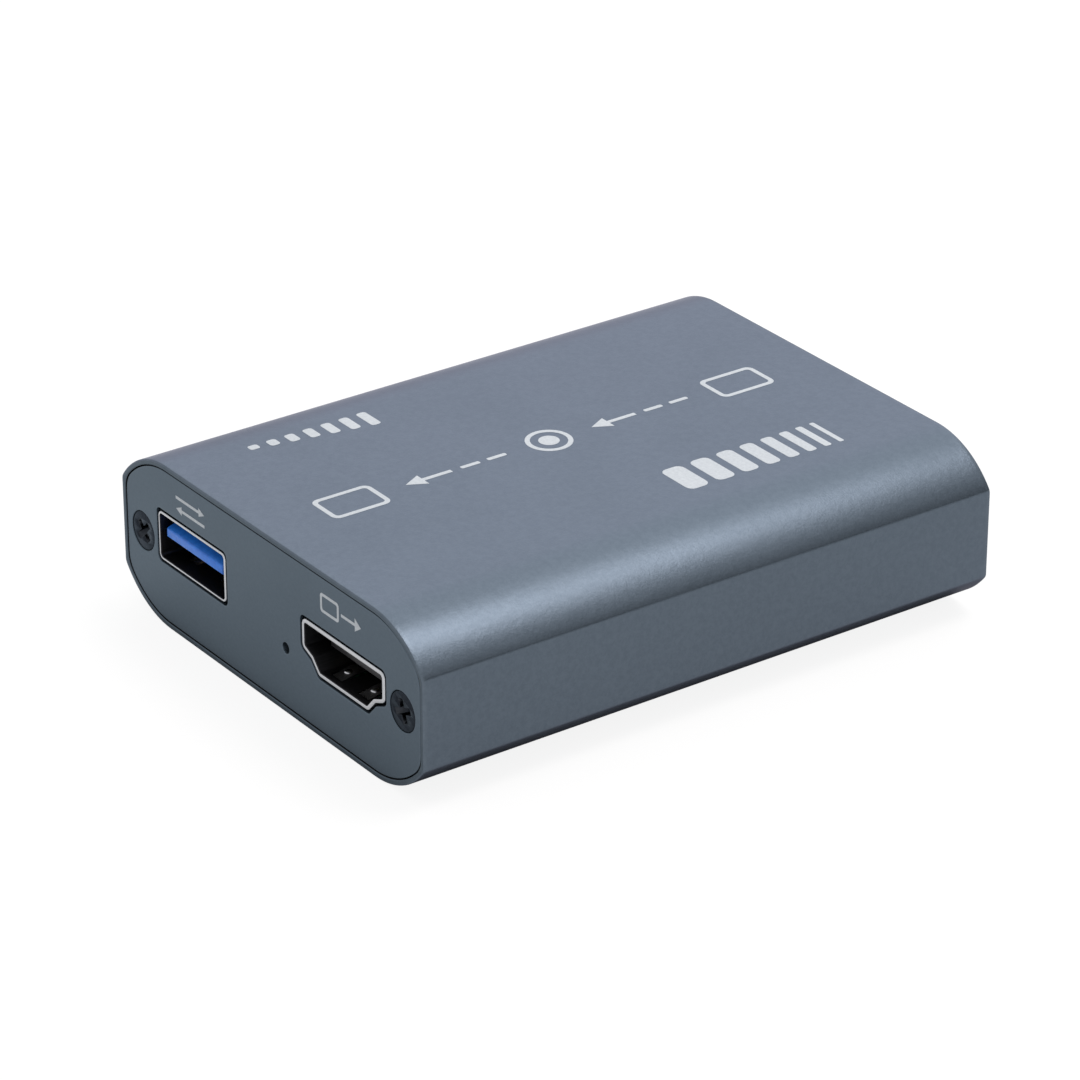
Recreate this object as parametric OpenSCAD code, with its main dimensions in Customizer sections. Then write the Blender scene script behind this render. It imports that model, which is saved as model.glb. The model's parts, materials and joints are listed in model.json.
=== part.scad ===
// Video capture box: an aluminium sleeve closed by two screwed end plates. A circuit board slides in
// two grooves of the sleeve. A data socket and a video output face the front, a video input the back.
// Millimetres, +Z up, front towards -Y, origin under the middle of the sleeve.

/* [Sleeve] */
// Width of the sleeve
body_w = 57; // [52:0.5:90]
// Height of the sleeve
body_h = 19.4; // [18.2:0.1:28]
// Depth of the sleeve from front to back
body_d = 73; // [68:0.5:120]
// How far each corner arc runs in from the side
corner_run = 9; // [7:0.1:12]
// How far each corner arc drops from the top
corner_drop = 4.6; // [3.5:0.1:5.2]
// Wall thickness
wall = 1.25; // [1:0.05:1.8]
// Lip that stays round each end plate
lip = 0.6; // [0.4:0.05:0.8]

/* [End plates] */
// Thickness of an end plate
plate_t = 1.5; // [1.5:0.1:2.4]
// How far a plate lies behind the end of the sleeve
plate_recess = 0.1; // [0:0.05:0.4]
// Gap between a plate and the lip around it
plate_gap = 0.15; // [0.05:0.05:0.3]
// Gap round a socket in its plate
socket_gap = 0.3; // [0.15:0.05:0.45]
// How far a socket's mouth lies behind the face of its plate
mouth_sink = 0; // [0:0.05:0.3]

/* [Screws] */
// Thread diameter
screw_d = 2.5; // [2:0.1:3]
// Length of a screw over its head
screw_len = 6; // [4:0.5:10]
// Diameter of the countersunk head
head_d = 4.4; // [4.2:0.1:5]
// Height of the straight rim of the head
head_rim = 0.15; // [0.1:0.05:0.3]
// Depth of a head below the face of its plate
head_sink = 0.08; // [0:0.02:0.15]
// Distance from a screw to the side of the sleeve
screw_inset = 3.9; // [3.4:0.1:4.2]
// Width of a wing of the cross recess
cross_w = 0.75; // [0.5:0.05:0.9]
// Length of the cross recess over both wings
cross_len = 2.7; // [2:0.1:3]
// Length of the cross recess at its foot
cross_foot = 0.9; // [0.6:0.1:1.2]
// Depth of the cross recess
cross_depth = 1.2; // [0.8:0.1:1.4]
// Turn of the cross recess in the left screw of a plate
left_turn = 45; // [0:5:90]
// Turn of the cross recess in the right screw of a plate
right_turn = 70; // [0:5:90]
// Gap between a thread or head and its hole
thread_gap = 0.05; // [0.03:0.01:0.1]
// Wall of a screw channel around its bore
channel_wall = 1.05; // [0.8:0.05:1.2]
// Slit along the inner side of a screw channel
channel_slit = 1; // [0.6:0.1:1.4]

/* [Board] */
// Height of the top of the board
board_top = 6.6; // [5.8:0.1:7]
// Thickness of the board
board_t = 1.6; // [1:0.1:2]
// Gap between the edges of the board and what is round them
board_gap = 0.3; // [0.1:0.05:0.6]
// Gap above and below the board in its grooves
groove_gap = 0.12; // [0.05:0.01:0.2]
// Thickness of a groove's ribs
rib_t = 0.8; // [0.6:0.1:1]
// How far a rib holds the board in from its edge
rib_hold = 1.2; // [0.8:0.1:1.6]
// Gap round a leg or pin in its hole in the board
hole_gap = 0.15; // [0.1:0.05:0.25]
// How far legs and pins stand out under the board
leg_out = 0.7; // [0.4:0.1:1.2]
// Distance between a socket's legs and the openings in its shell
leg_gap = 0.4; // [0.3:0.1:0.8]

/* [Data socket] */
// Distance from the left side of the sleeve to the middle of the data socket
data_inset = 13.7; // [12.5:0.1:17]
// Height of the data socket's middle above the board
data_rise = 4.1; // [3.9:0.05:4.5]
// Width of the data socket's shell
data_w = 13.2; // [13:0.05:13.6]
// Height of the data socket's shell
data_h = 5.75; // [5.7:0.05:6]
// Length of the data socket's shell
data_len = 17; // [16:0.1:20]
// Sheet thickness of the data socket's shell
data_wall = 0.32; // [0.25:0.01:0.4]
// Outer corner radius of the data socket's shell
data_r = 0.7; // [0.5:0.05:1]
// Width of the tongue
tongue_w = 11.1; // [10.6:0.1:11.4]
// Thickness of the tongue
tongue_t = 1.84; // [1.7:0.02:2]
// Height of the tongue above the floor of the shell
tongue_rise = 2.5; // [2.4:0.05:2.7]
// How far the tongue lies behind the mouth
tongue_sink = 0.35; // [0.2:0.05:0.8]
// Depth of the socket in front of its insulator block
data_reach = 9.6; // [9:0.1:10.5]
// Width of a leg of the data socket's shell
data_leg_w = 1.6; // [1.2:0.1:2]
// How far the insulator's foot reaches in front of its pins
data_foot = 1.2; // [1:0.1:1.6]

/* [Video sockets] */
// Distance from the right side of the sleeve to the middle of the video sockets
video_inset = 14.6; // [13.9:0.1:18]
// Height of a video socket's middle above the board
video_rise = 3.2; // [3.2:0.05:4]
// Width of a video socket's shell
video_w = 15.1; // [14.9:0.05:15.4]
// Height of a video socket's shell
video_h = 5.6; // [5.5:0.05:5.8]
// Length of a video socket's shell
video_len = 11.5; // [11:0.1:14]
// Sheet thickness of a video socket's shell, folded double at the mouth
video_wall = 0.5; // [0.4:0.05:0.55]
// Corner radius of a video socket's shell
video_r = 0.8; // [0.7:0.05:1]
// Width of the flat under a video socket
video_foot_w = 9; // [8.6:0.1:9.4]
// Width of a video socket at the step in its lower corners
video_step_w = 11.6; // [11.2:0.1:12]
// Height of the step in the lower corners
video_step_h = 1.45; // [1.3:0.05:1.6]
// Height at which the upright sides begin
video_side_h = 2.2; // [2:0.05:2.4]
// Width of a video socket's tongue
blade_w = 10.9; // [10.6:0.1:11.2]
// Thickness of a video socket's tongue
blade_t = 1.4; // [1.2:0.05:1.5]
// Drop of the tongue's upper face below the roof of the shell
blade_drop = 1.25; // [1.1:0.05:1.4]
// How far the tongue lies behind the mouth
blade_sink = 2.2; // [1.6:0.1:3]
// Depth of the socket in front of its insulator block
video_reach = 6.5; // [6:0.1:7.5]
// Width of a leg of a video socket's shell
video_leg_w = 1.2; // [0.8:0.1:1.4]
// Distance from the front of the insulator block to its foot
video_foot_gap = 1.8; // [1.6:0.1:2]

/* [Spring fingers] */
// Width of a shell's spring finger
finger_w = 1.7; // [1.4:0.1:2.2]
// Gap round a finger in its window
finger_gap = 0.15; // [0.12:0.01:0.25]
// Gap behind the round root of a finger
root_gap = 0.05; // [0.03:0.01:0.1]
// Length of a finger from its root to its tip
finger_len = 3.5; // [3.2:0.1:4]
// Distance from the root of a finger to its crest
finger_crest = 2.2; // [2:0.1:2.6]
// Thickness of a finger
finger_t = 0.28; // [0.2:0.02:0.3]
// Distance from the mouth of a video socket to the roots of its fingers
video_finger_y = 1; // [0.9:0.05:1.6]
// Rise of the crest of a video socket's finger
video_finger_rise = 0.38; // [0.3:0.02:0.45]
// Distance between the two fingers in one wall of a video socket
video_finger_pitch = 4.9; // [4.5:0.1:6]
// Distance from the mouth of the data socket to the roots of its fingers
data_finger_y = 2.2; // [2:0.1:3]
// Rise of the crest of a data socket's finger
data_finger_rise = 0.5; // [0.4:0.02:0.56]
// Distance between the two fingers in one wall of the data socket
data_finger_pitch = 6; // [5:0.1:7]

/* [Contacts] */
// Gap round a socket's insulator
seat_gap = 0.1; // [0.06:0.01:0.12]
// Sheet thickness of all contacts
contact_t = 0.2; // [0.15:0.01:0.22]
// Width of a video contact
video_contact_w = 0.3; // [0.2:0.02:0.36]
// Pitch of the video contacts within one row
video_pitch = 1; // [0.9:0.02:1.02]
// Number of video contacts on the upper face of the tongue
video_upper_count = 10; // [8:1:10]
// Length of the soldered tails of the video contacts
video_tail = 1.1; // [0.8:0.1:1.5]
// Width of a sprung data contact
beam_w = 1; // [0.8:0.05:1.1]
// Length of a sprung data contact from its root to its tip
beam_len = 6.4; // [6:0.1:6.6]
// Distance from the root of a sprung data contact to its crest
beam_crest = 5.4; // [5:0.1:5.6]
// Drop of the crest of a sprung data contact from its root
beam_drop = 0.8; // [0.7:0.05:0.9]
// Depth of the groove over a sprung data contact
beam_groove = 1; // [0.95:0.01:1.1]
// Distance from the middle of the socket to an inner sprung contact
beam_inner_x = 1; // [0.9:0.05:1.1]
// Distance from the middle of the socket to an outer sprung contact
beam_outer_x = 3.5; // [3.3:0.05:3.6]
// Distance from the front of the insulator block to the pins of the sprung contacts
beam_tail = 3.6; // [3.2:0.1:4]
// Distance between the two rows of data pins
pin_row_gap = 2.2; // [1.8:0.1:2.4]
// Distance from the front of the tongue to the fixed data contacts
pad_sink = 0.4; // [0.2:0.05:0.6]
// Number of fixed data contacts
pad_count = 5; // [3:1:5]
// Width of a fixed data contact
pad_w = 0.6; // [0.4:0.05:0.7]
// Pitch of the fixed data contacts
pad_pitch = 2; // [1.8:0.05:2.1]

/* [Status light] */
// Distance from the middle of the video output to the status light
led_offset = 10.65; // [10:0.05:11.5]
// Height of the status light above the board
led_rise = 1; // [0.9:0.05:1.3]
// Diameter of the pinhole in the front plate
pinhole_d = 1.25; // [0.8:0.05:1.6]
// Width of the status light
led_w = 3; // [2.4:0.1:3.4]
// Depth of the status light's body
led_d = 1.3; // [1:0.1:1.6]
// Diameter of the status light's lens
lens_d = 1.5; // [1.2:0.1:1.7]

/* [Chips] */
// Side of the capture chip
capture_side = 12; // [10:0.5:14]
// Height of the capture chip
capture_h = 1; // [0.8:0.1:1.4]
// Distance of the capture chip from the middle of the data socket
capture_shift = 3.5; // [2:0.1:4.5]
// Thickness of the thermal tape
tape_t = 0.25; // [0.1:0.05:0.5]
// Side of the heat sink
sink_side = 14; // [14:0.5:16]
// Height of the heat sink
sink_h = 5.5; // [4:0.1:6]
// Thickness of the heat sink's base
sink_base = 1.4; // [1:0.1:2]
// Number of fins
fin_count = 6; // [4:1:7]
// Thickness of a fin
fin_t = 0.9; // [0.7:0.05:1.1]
// Side of the loop chip
loop_side = 9; // [7:0.5:10]
// Height of the loop chip
loop_h = 0.85; // [0.7:0.05:1.2]
// Side of the memory chip's body
memory_side = 5.2; // [4.8:0.1:5.4]
// Height of the memory chip
memory_h = 1.8; // [1.5:0.1:2]
// Pitch of the memory chip's leads
memory_pitch = 1.27; // [1:0.01:1.4]
// Reach of the memory chip's leads
memory_lead = 1.2; // [1:0.1:1.5]
// Width of a lead
lead_w = 0.4; // [0.3:0.05:0.5]

/* [Power parts] */
// Side of a power inductor
coil_side = 4; // [3.6:0.1:4.4]
// Height of a power inductor
coil_h = 2.1; // [1.6:0.1:3]
// Number of inductors, each with its regulator
coil_count = 3; // [2:1:3]
// Distance between neighbouring inductors
coil_pitch = 6; // [5.6:0.1:6.4]
// Distance from the rear edge of the board to the regulators
regulator_setback = 5; // [4:0.1:6]
// Distance from the regulators to the inductors
coil_setback = 7; // [6:0.1:7.5]
// Width of a regulator
regulator_w = 3.5; // [3:0.1:4]
// Depth of a regulator's body
regulator_d = 3; // [2.6:0.1:3.4]
// Height of a regulator
regulator_h = 1.6; // [1.2:0.1:1.8]
// Pitch of a regulator's leads
regulator_pitch = 0.95; // [0.8:0.05:1.2]
// Reach of a regulator's leads
regulator_lead = 0.8; // [0.6:0.1:1.2]
// Diameter of a bulk capacitor
bulk_d = 5; // [4:0.1:5.4]
// Height of a bulk capacitor
bulk_h = 5.4; // [4:0.1:6]
// Height of a bulk capacitor's base
bulk_base_h = 0.9; // [0.6:0.1:1.2]
// Length of the supply fuse
fuse_len = 4.5; // [3.2:0.1:5]
// Width of the supply fuse
fuse_w = 2.6; // [2:0.1:3.2]
// Height of the supply fuse
fuse_h = 1; // [0.6:0.1:1.5]

/* [Small parts] */
// Gap between neighbouring parts on the board
part_gap = 0.6; // [0.4:0.1:0.8]
// Length of a ceramic capacitor
cap_len = 1.6; // [1:0.1:1.8]
// Width and height of a ceramic capacitor
cap_w = 0.8; // [0.5:0.05:0.9]
// Pitch of the ceramic capacitors in their rows
cap_pitch = 2; // [1.9:0.1:2.2]
// Number of ceramic capacitors along each side of the capture chip
capture_caps = 7; // [4:1:7]
// Number of ceramic capacitors beside the loop chip
loop_caps = 5; // [3:1:6]
// Number of ceramic capacitors beside the inductors
coil_caps = 6; // [3:1:7]
// Length of a resistor
resistor_len = 1; // [0.8:0.1:1.2]
// Width of a resistor
resistor_w = 0.5; // [0.4:0.05:0.6]
// Height of a resistor
resistor_h = 0.35; // [0.3:0.05:0.5]
// Pitch of the resistors in their rows
resistor_pitch = 1; // [0.9:0.05:1.1]
// Number of resistors behind each video socket
resistor_count = 12; // [8:1:14]
// Length of a surge array
array_len = 2.2; // [2:0.1:2.5]
// Width of a surge array
array_w = 1; // [0.8:0.1:1.3]
// Height of a surge array
array_h = 0.6; // [0.4:0.05:0.8]
// Pitch of the surge arrays in their rows
array_pitch = 2.8; // [2.7:0.1:3.2]
// Number of surge arrays behind each video socket
array_count = 4; // [2:1:5]
// Length of a crystal
crystal_len = 3.2; // [2.5:0.1:3.6]
// Width of a crystal
crystal_w = 2.5; // [2:0.1:2.8]
// Height of a crystal
crystal_h = 0.8; // [0.6:0.1:1.2]

/* [Hidden] */
$fn = 48;
arc_steps = 5;
cut = 1;
tip_share = 0.25;

// The corner arc is tangent to the top and meets the upright side at a crease.
corner_r = (corner_run * corner_run + corner_drop * corner_drop) / (2 * corner_drop);
corner_x = body_w / 2 - corner_run;

// Planes along the depth, given for the front and mirrored at the back.
plate_face = body_d / 2 - plate_recess;
plate_back = plate_face - plate_t;
mouth = plate_face - mouth_sink;
board_half_d = plate_back - board_gap;

board_floor = board_top - board_t;
board_half_w = min(half_width(board_floor, wall), half_width(board_top, wall)) - board_gap;
screw_x = body_w / 2 - screw_inset;
screw_z = body_h / 2;
channel_r = screw_d / 2 + channel_wall;
shank_d = screw_d - 2 * thread_gap;
head_cone = (head_d - shank_d) / 2;

data_x = data_inset - body_w / 2;
data_floor = data_rise - data_h / 2 + data_wall;
data_block_end = data_len - data_wall - seat_gap;
tongue_floor = data_floor + tongue_rise;
beam_root_y = data_reach - 2 * contact_t;
beam_root_z = tongue_floor + beam_drop / 2;
beam_x = [-beam_outer_x, -beam_inner_x, beam_inner_x, beam_outer_x];
beam_tail_y = data_reach + beam_tail;
groove_y = beam_root_y - beam_len - finger_gap;
pad_y = tongue_sink + pad_sink;
pad_end = groove_y - seat_gap;
pad_strip_z = tongue_floor + beam_groove + contact_t;
pad_tail_y = beam_tail_y + pin_row_gap;
data_open_y = beam_tail_y - data_foot;
data_leg_y = [for (y = [data_finger_y + finger_len, data_open_y]) y + leg_gap + data_leg_w / 2];

video_x = body_w / 2 - video_inset;
video_base = video_rise - video_h / 2;
video_floor = video_base + video_wall;
video_roof = video_base + video_h - video_wall;
video_block_end = video_len - seat_gap;
blade_top = video_roof - blade_drop;
video_open_y = video_reach + video_foot_gap;
video_leg_y = [for (y = [video_finger_y + finger_len, video_open_y]) y + leg_gap + video_leg_w / 2];
video_outline = [
  [-video_foot_w / 2, 0],
  [video_foot_w / 2, 0],
  [video_step_w / 2, video_step_h],
  [video_w / 2, video_side_h],
  [video_w / 2, video_h],
  [-video_w / 2, video_h],
  [-video_w / 2, video_side_h],
  [-video_step_w / 2, video_step_h]
];

led_x = video_x - led_offset;

capture_x = data_x + capture_shift;
sink_z = board_top + capture_h + tape_t;
regulator_y = board_half_d - regulator_setback;
coil_y = regulator_y - coil_setback;
memory_y = sink_side / 2 + cap_len + memory_side / 2 + 2 * part_gap;
fuse_y = data_len - mouth + part_gap + fuse_w / 2;
bulk_x = data_x + data_w / 2 + part_gap + bulk_d / 2;
array_y = mouth - video_len - seat_gap - video_tail - part_gap - array_w / 2;
resistor_y = array_y - array_w / 2 - part_gap - resistor_len / 2;

anodised = [0.42, 0.46, 0.52];
plate_grey = [0.33, 0.36, 0.41];
screw_black = [0.08, 0.08, 0.09];
plated = [0.78, 0.78, 0.76];
gold = [0.83, 0.66, 0.32];
tongue_blue = [0.16, 0.38, 0.82];
moulded_black = [0.07, 0.07, 0.08];
board_green = [0.05, 0.28, 0.17];
package_black = [0.12, 0.12, 0.13];
ceramic_tan = [0.70, 0.58, 0.43];
tape_grey = [0.62, 0.66, 0.70];
sink_black = [0.20, 0.21, 0.23];
ferrite_grey = [0.24, 0.24, 0.25];
can_silver = [0.80, 0.80, 0.82];
fuse_green = [0.16, 0.36, 0.22];
light_white = [0.88, 0.88, 0.85];
lens_clear = [0.75, 0.85, 0.95];

// Half of the sleeve's width at a height, for the outline drawn in by an inset.
function half_width(z, inset) =
  let (away = max(0, corner_r - z, z - body_h + corner_r))
  min(body_w / 2 - inset, corner_x + sqrt(pow(corner_r - inset, 2) - pow(away, 2)));

function unit(v) = v / norm(v);

// One where the outline turns left at b, minus one where it turns right.
function bend(a, b, c) = sign(cross(b - a, c - b));

function half_angle(a, b, c) = acos(unit(a - b) * unit(c - b)) / 2;

function inset_corner(a, b, c, d) =
  b + bend(a, b, c) * unit(unit(a - b) + unit(c - b)) * d / sin(half_angle(a, b, c));

function inset_outline(points, d) =
  let (n = len(points))
  [for (i = [0:n - 1]) inset_corner(points[(i + n - 1) % n], points[i], points[(i + 1) % n], d)];

// The arc that rounds the corner b between a and c.
function corner_arc(a, b, c, r) =
  let (
    half = half_angle(a, b, c),
    centre = b + unit(unit(a - b) + unit(c - b)) * r / sin(half),
    start = b + unit(a - b) * r / tan(half) - centre,
    first = atan2(start.y, start.x),
    sweep = bend(a, b, c) * (180 - 2 * half)
  )
  [
    for (i = [0:arc_steps])
      let (angle = first + sweep * i / arc_steps)
      centre + r * [cos(angle), sin(angle)]
  ];

function rounded(points, r) =
  let (n = len(points))
  [for (i = [0:n - 1]) each corner_arc(points[(i + n - 1) % n], points[i], points[(i + 1) % n], r)];

function rectangle(w, h) = [[-w / 2, -h / 2], [w / 2, -h / 2], [w / 2, h / 2], [-w / 2, h / 2]];

function centred(count, pitch) = [for (i = [0:count - 1]) (i - (count - 1) / 2) * pitch];

// Section of the sleeve, drawn in by an inset.
module section(inset) {
  translate([-corner_x, inset]) square([2 * corner_x, body_h - 2 * inset]);
  for (side = [0, 1]) {
    mirror([side, 0]) intersection() {
      translate([corner_x, -cut]) square([corner_run - inset, body_h + 2 * cut]);
      translate([corner_x, corner_r]) circle(corner_r - inset);
      translate([corner_x, body_h - corner_r]) circle(corner_r - inset);
    }
  }
}

// Extrudes an outline drawn in X and Z from one depth to another.
module along_y(from, to) {
  translate([0, to, 0]) rotate([90, 0, 0]) linear_extrude(to - from) children();
}

// Extrudes an outline drawn in Y and Z to a width about the middle plane.
module across_x(width) {
  translate([-width / 2, 0, 0]) rotate([90, 0, 90]) linear_extrude(width) children();
}

module block(x, y, z) {
  translate([x[0], y[0], z[0]]) cube([x[1] - x[0], y[1] - y[0], z[1] - z[0]]);
}

// A block that stands on the board, centred on a point.
module on_board(x, y, size) {
  translate([x - size.x / 2, y - size.y / 2, board_top]) cube(size);
}

module at_data_socket() {
  translate([data_x, -mouth, board_top]) children();
}

module at_video_out() {
  translate([video_x, -mouth, board_top]) children();
}

module at_video_in() {
  translate([video_x, mouth, board_top]) rotate(180) children();
}

module at_screws() {
  for (side = [-1, 1]) {
    translate([side * screw_x, 0, screw_z]) children();
  }
}

module groove_ribs() {
  rib_x = [board_half_w - rib_hold, body_w / 2];
  for (side = [0, 1]) {
    mirror([side, 0, 0]) {
      for (z = [board_floor - groove_gap - rib_t, board_top + groove_gap]) {
        block(rib_x, [-body_d / 2, body_d / 2], [z, z + rib_t]);
      }
    }
  }
}

module screw_channels() {
  web_z = [screw_z - channel_r / 2, screw_z + channel_r / 2];
  at_screws() along_y(-body_d / 2, body_d / 2) circle(channel_r);
  for (side = [0, 1]) {
    mirror([side, 0, 0]) block([screw_x, body_w / 2], [-body_d / 2, body_d / 2], web_z);
  }
}

module sleeve() {
  color(anodised) difference() {
    union() {
      difference() {
        along_y(-body_d / 2, body_d / 2) section(0);
        along_y(-body_d / 2 - cut, body_d / 2 + cut) section(wall);
      }
      intersection() {
        along_y(-body_d / 2, body_d / 2) section(lip);
        union() {
          groove_ribs();
          screw_channels();
        }
      }
    }
    for (side = [0, 1]) {
      mirror([0, side, 0]) along_y(plate_back, body_d / 2 + cut) section(lip);
      mirror([side, 0, 0]) {
        block(
          [screw_x - channel_r - cut, screw_x],
          [-body_d / 2, body_d / 2],
          [screw_z - channel_slit / 2, screw_z + channel_slit / 2]
        );
      }
    }
    at_screws() along_y(-body_d / 2, body_d / 2) circle(d = screw_d);
  }
}

// A plate with its screw holes, facing the front.
module plate_blank() {
  rim = head_sink + head_rim;
  difference() {
    along_y(-plate_face, -plate_back) section(lip + plate_gap);
    at_screws() {
      translate([0, -plate_face, 0]) rotate([-90, 0, 0]) {
        translate([0, 0, -cut]) cylinder(d = head_d + 2 * thread_gap, h = cut + rim);
        translate([0, 0, rim]) {
          cylinder(d1 = head_d + 2 * thread_gap, d2 = shank_d + 2 * thread_gap, h = head_cone);
        }
        cylinder(d = screw_d + 2 * thread_gap, h = plate_t + cut);
      }
    }
  }
}

module data_cutout() {
  outline = rectangle(data_w + 2 * socket_gap, data_h + 2 * socket_gap);
  at_data_socket() {
    translate([0, 0, data_rise]) along_y(-cut, plate_t + cut) polygon(rounded(outline, data_r));
  }
}

module video_cutout() {
  translate([0, 0, video_base]) along_y(-cut, plate_t + cut) {
    polygon(rounded(inset_outline(video_outline, -socket_gap), video_r));
  }
}

module front_plate() {
  color(plate_grey) difference() {
    plate_blank();
    data_cutout();
    at_video_out() video_cutout();
    translate([led_x, 0, board_top + led_rise]) {
      along_y(-plate_face - cut, -plate_back + cut) circle(d = pinhole_d);
    }
  }
}

module rear_plate() {
  color(plate_grey) difference() {
    rotate(180) plate_blank();
    at_video_in() video_cutout();
  }
}

// One countersunk screw, its head's face at the origin and its tip along +Z.
module screw() {
  difference() {
    union() {
      cylinder(d = head_d, h = head_rim);
      translate([0, 0, head_rim]) cylinder(d1 = head_d, d2 = shank_d, h = head_cone);
      cylinder(d = shank_d, h = screw_len);
    }
    for (turn = [0, 90]) {
      rotate(turn) translate([0, cross_w / 2, 0]) rotate([90, 0, 0]) linear_extrude(cross_w) {
        polygon([
          [-cross_len / 2, -cut],
          [cross_len / 2, -cut],
          [cross_len / 2, 0],
          [cross_foot / 2, cross_depth],
          [-cross_foot / 2, cross_depth],
          [-cross_len / 2, 0]
        ]);
      }
    }
  }
}

module plate_screws() {
  for (side = [-1, 1]) {
    translate([side * screw_x, head_sink - plate_face, screw_z]) rotate([-90, 0, 0]) {
      rotate(side < 0 ? left_turn : right_turn) screw();
    }
  }
}

module front_plate_screws() {
  color(screw_black) plate_screws();
}

module rear_plate_screws() {
  color(screw_black) rotate(180) plate_screws();
}

// A spring finger that runs into a socket from its round root at the origin and bows up.
module finger(rise) {
  side = finger_t / 2;
  tip_rise = rise * tip_share;
  across_x(finger_w) {
    intersection() {
      circle(side);
      translate([-finger_t, -finger_t]) square([finger_t, 2 * finger_t]);
    }
    polygon([
      [0, -side],
      [finger_crest, rise - side],
      [finger_len, tip_rise - side],
      [finger_len, tip_rise + side],
      [finger_crest, rise + side],
      [0, side]
    ]);
  }
}

module fingers(depth, floor, rise, pitch) {
  for (x = centred(2, pitch)) {
    translate([x, depth, floor - finger_t / 2]) finger(rise);
  }
}

module finger_windows(depth, floor, sheet, pitch) {
  half = finger_w / 2 + finger_gap;
  y = [depth - finger_t / 2 - root_gap, depth + finger_len + finger_gap];
  for (x = centred(2, pitch)) {
    block([x - half, x + half], y, [floor - sheet - cut, floor + sheet]);
  }
}

// Mirrors its children from the floor of a socket to its roof.
module at_roof(middle) {
  translate([0, 0, middle]) mirror([0, 0, 1]) translate([0, 0, -middle]) children();
}

// Four legs that carry a shell, run through the board and stand out under it.
module legs(width, sheet, length, depths, top) {
  for (side = [0, 1]) {
    mirror([side, 0, 0]) {
      for (y = depths) {
        block([width / 2 - sheet, width / 2], [y - length / 2, y + length / 2], [-board_t - leg_out, top]);
      }
    }
  }
}

module leg_holes(width, sheet, length, depths) {
  x = [width / 2 - sheet - hole_gap, width / 2 + hole_gap];
  half = length / 2 + hole_gap;
  for (side = [0, 1]) {
    mirror([side, 0, 0]) {
      for (y = depths) {
        block(x, [y - half, y + half], [-board_t - cut, cut]);
      }
    }
  }
}

module data_shell_tube() {
  outline = rectangle(data_w, data_h);
  hollow = inset_outline(outline, data_wall);
  translate([0, 0, data_rise]) difference() {
    along_y(0, data_len) polygon(rounded(outline, data_r));
    along_y(-cut, data_len - data_wall) polygon(rounded(hollow, data_r - data_wall));
  }
}

module data_socket_shell() {
  color(plated) at_data_socket() difference() {
    union() {
      data_shell_tube();
      legs(data_w, data_wall, data_leg_w, data_leg_y, data_rise);
    }
    finger_windows(data_finger_y, data_floor, data_wall, data_finger_pitch);
    at_roof(data_rise) finger_windows(data_finger_y, data_floor, data_wall, data_finger_pitch);
    block(
      [-tongue_w / 2, tongue_w / 2],
      [data_open_y, data_len + cut],
      [data_floor - data_wall - cut, data_floor + data_wall]
    );
  }
}

// A fixed contact: a pad under the tongue, a riser, a strip through the insulator and a pin.
module fixed_data_contact() {
  half = pad_w / 2;
  strip_z = [pad_strip_z, pad_strip_z + contact_t];
  block([-half, half], [pad_y, pad_end], [tongue_floor, tongue_floor + contact_t]);
  block([-half, half], [pad_end - contact_t, pad_end], [tongue_floor, strip_z[1]]);
  block([-half, half], [pad_end - contact_t, pad_tail_y], strip_z);
  block([-half, half], [pad_tail_y - contact_t, pad_tail_y], [-board_t - leg_out, strip_z[1]]);
}

// The fixed end of a sprung contact: a strip behind its root and a pin.
module sprung_contact_tail() {
  half = pad_w / 2;
  strip_z = [beam_root_z - contact_t / 2, beam_root_z + contact_t / 2];
  block([-half, half], [data_reach, beam_tail_y], strip_z);
  block([-half, half], [beam_tail_y - contact_t, beam_tail_y], [-board_t - leg_out, strip_z[1]]);
}

module data_contacts() {
  for (x = centred(pad_count, pad_pitch)) {
    translate([x, 0, 0]) fixed_data_contact();
  }
  for (x = beam_x) {
    translate([x, 0, 0]) sprung_contact_tail();
  }
}

module data_socket_contacts() {
  color(gold) at_data_socket() data_contacts();
}

module data_pin_holes() {
  hole_r = norm([pad_w, contact_t]) / 2 + hole_gap;
  for (x = centred(pad_count, pad_pitch)) {
    translate([x, pad_tail_y - contact_t / 2, -board_t - cut]) cylinder(r = hole_r, h = board_t + 2 * cut);
  }
  for (x = beam_x) {
    translate([x, beam_tail_y - contact_t / 2, -board_t - cut]) cylinder(r = hole_r, h = board_t + 2 * cut);
  }
}

// A sprung contact that runs towards the mouth from its round root at the origin and bows down.
module sprung_beam() {
  side = contact_t / 2;
  tip_drop = beam_drop * tip_share;
  across_x(beam_w) {
    intersection() {
      circle(side);
      translate([0, -contact_t]) square([contact_t, 2 * contact_t]);
    }
    polygon([
      [0, -side],
      [0, side],
      [-beam_crest, side - beam_drop],
      [-beam_len, side - tip_drop],
      [-beam_len, -side - tip_drop],
      [-beam_crest, -side - beam_drop]
    ]);
  }
}

module data_socket_sprung_contacts() {
  color(gold) at_data_socket() {
    for (x = beam_x) {
      translate([x, beam_root_y, beam_root_z]) sprung_beam();
    }
  }
}

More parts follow.
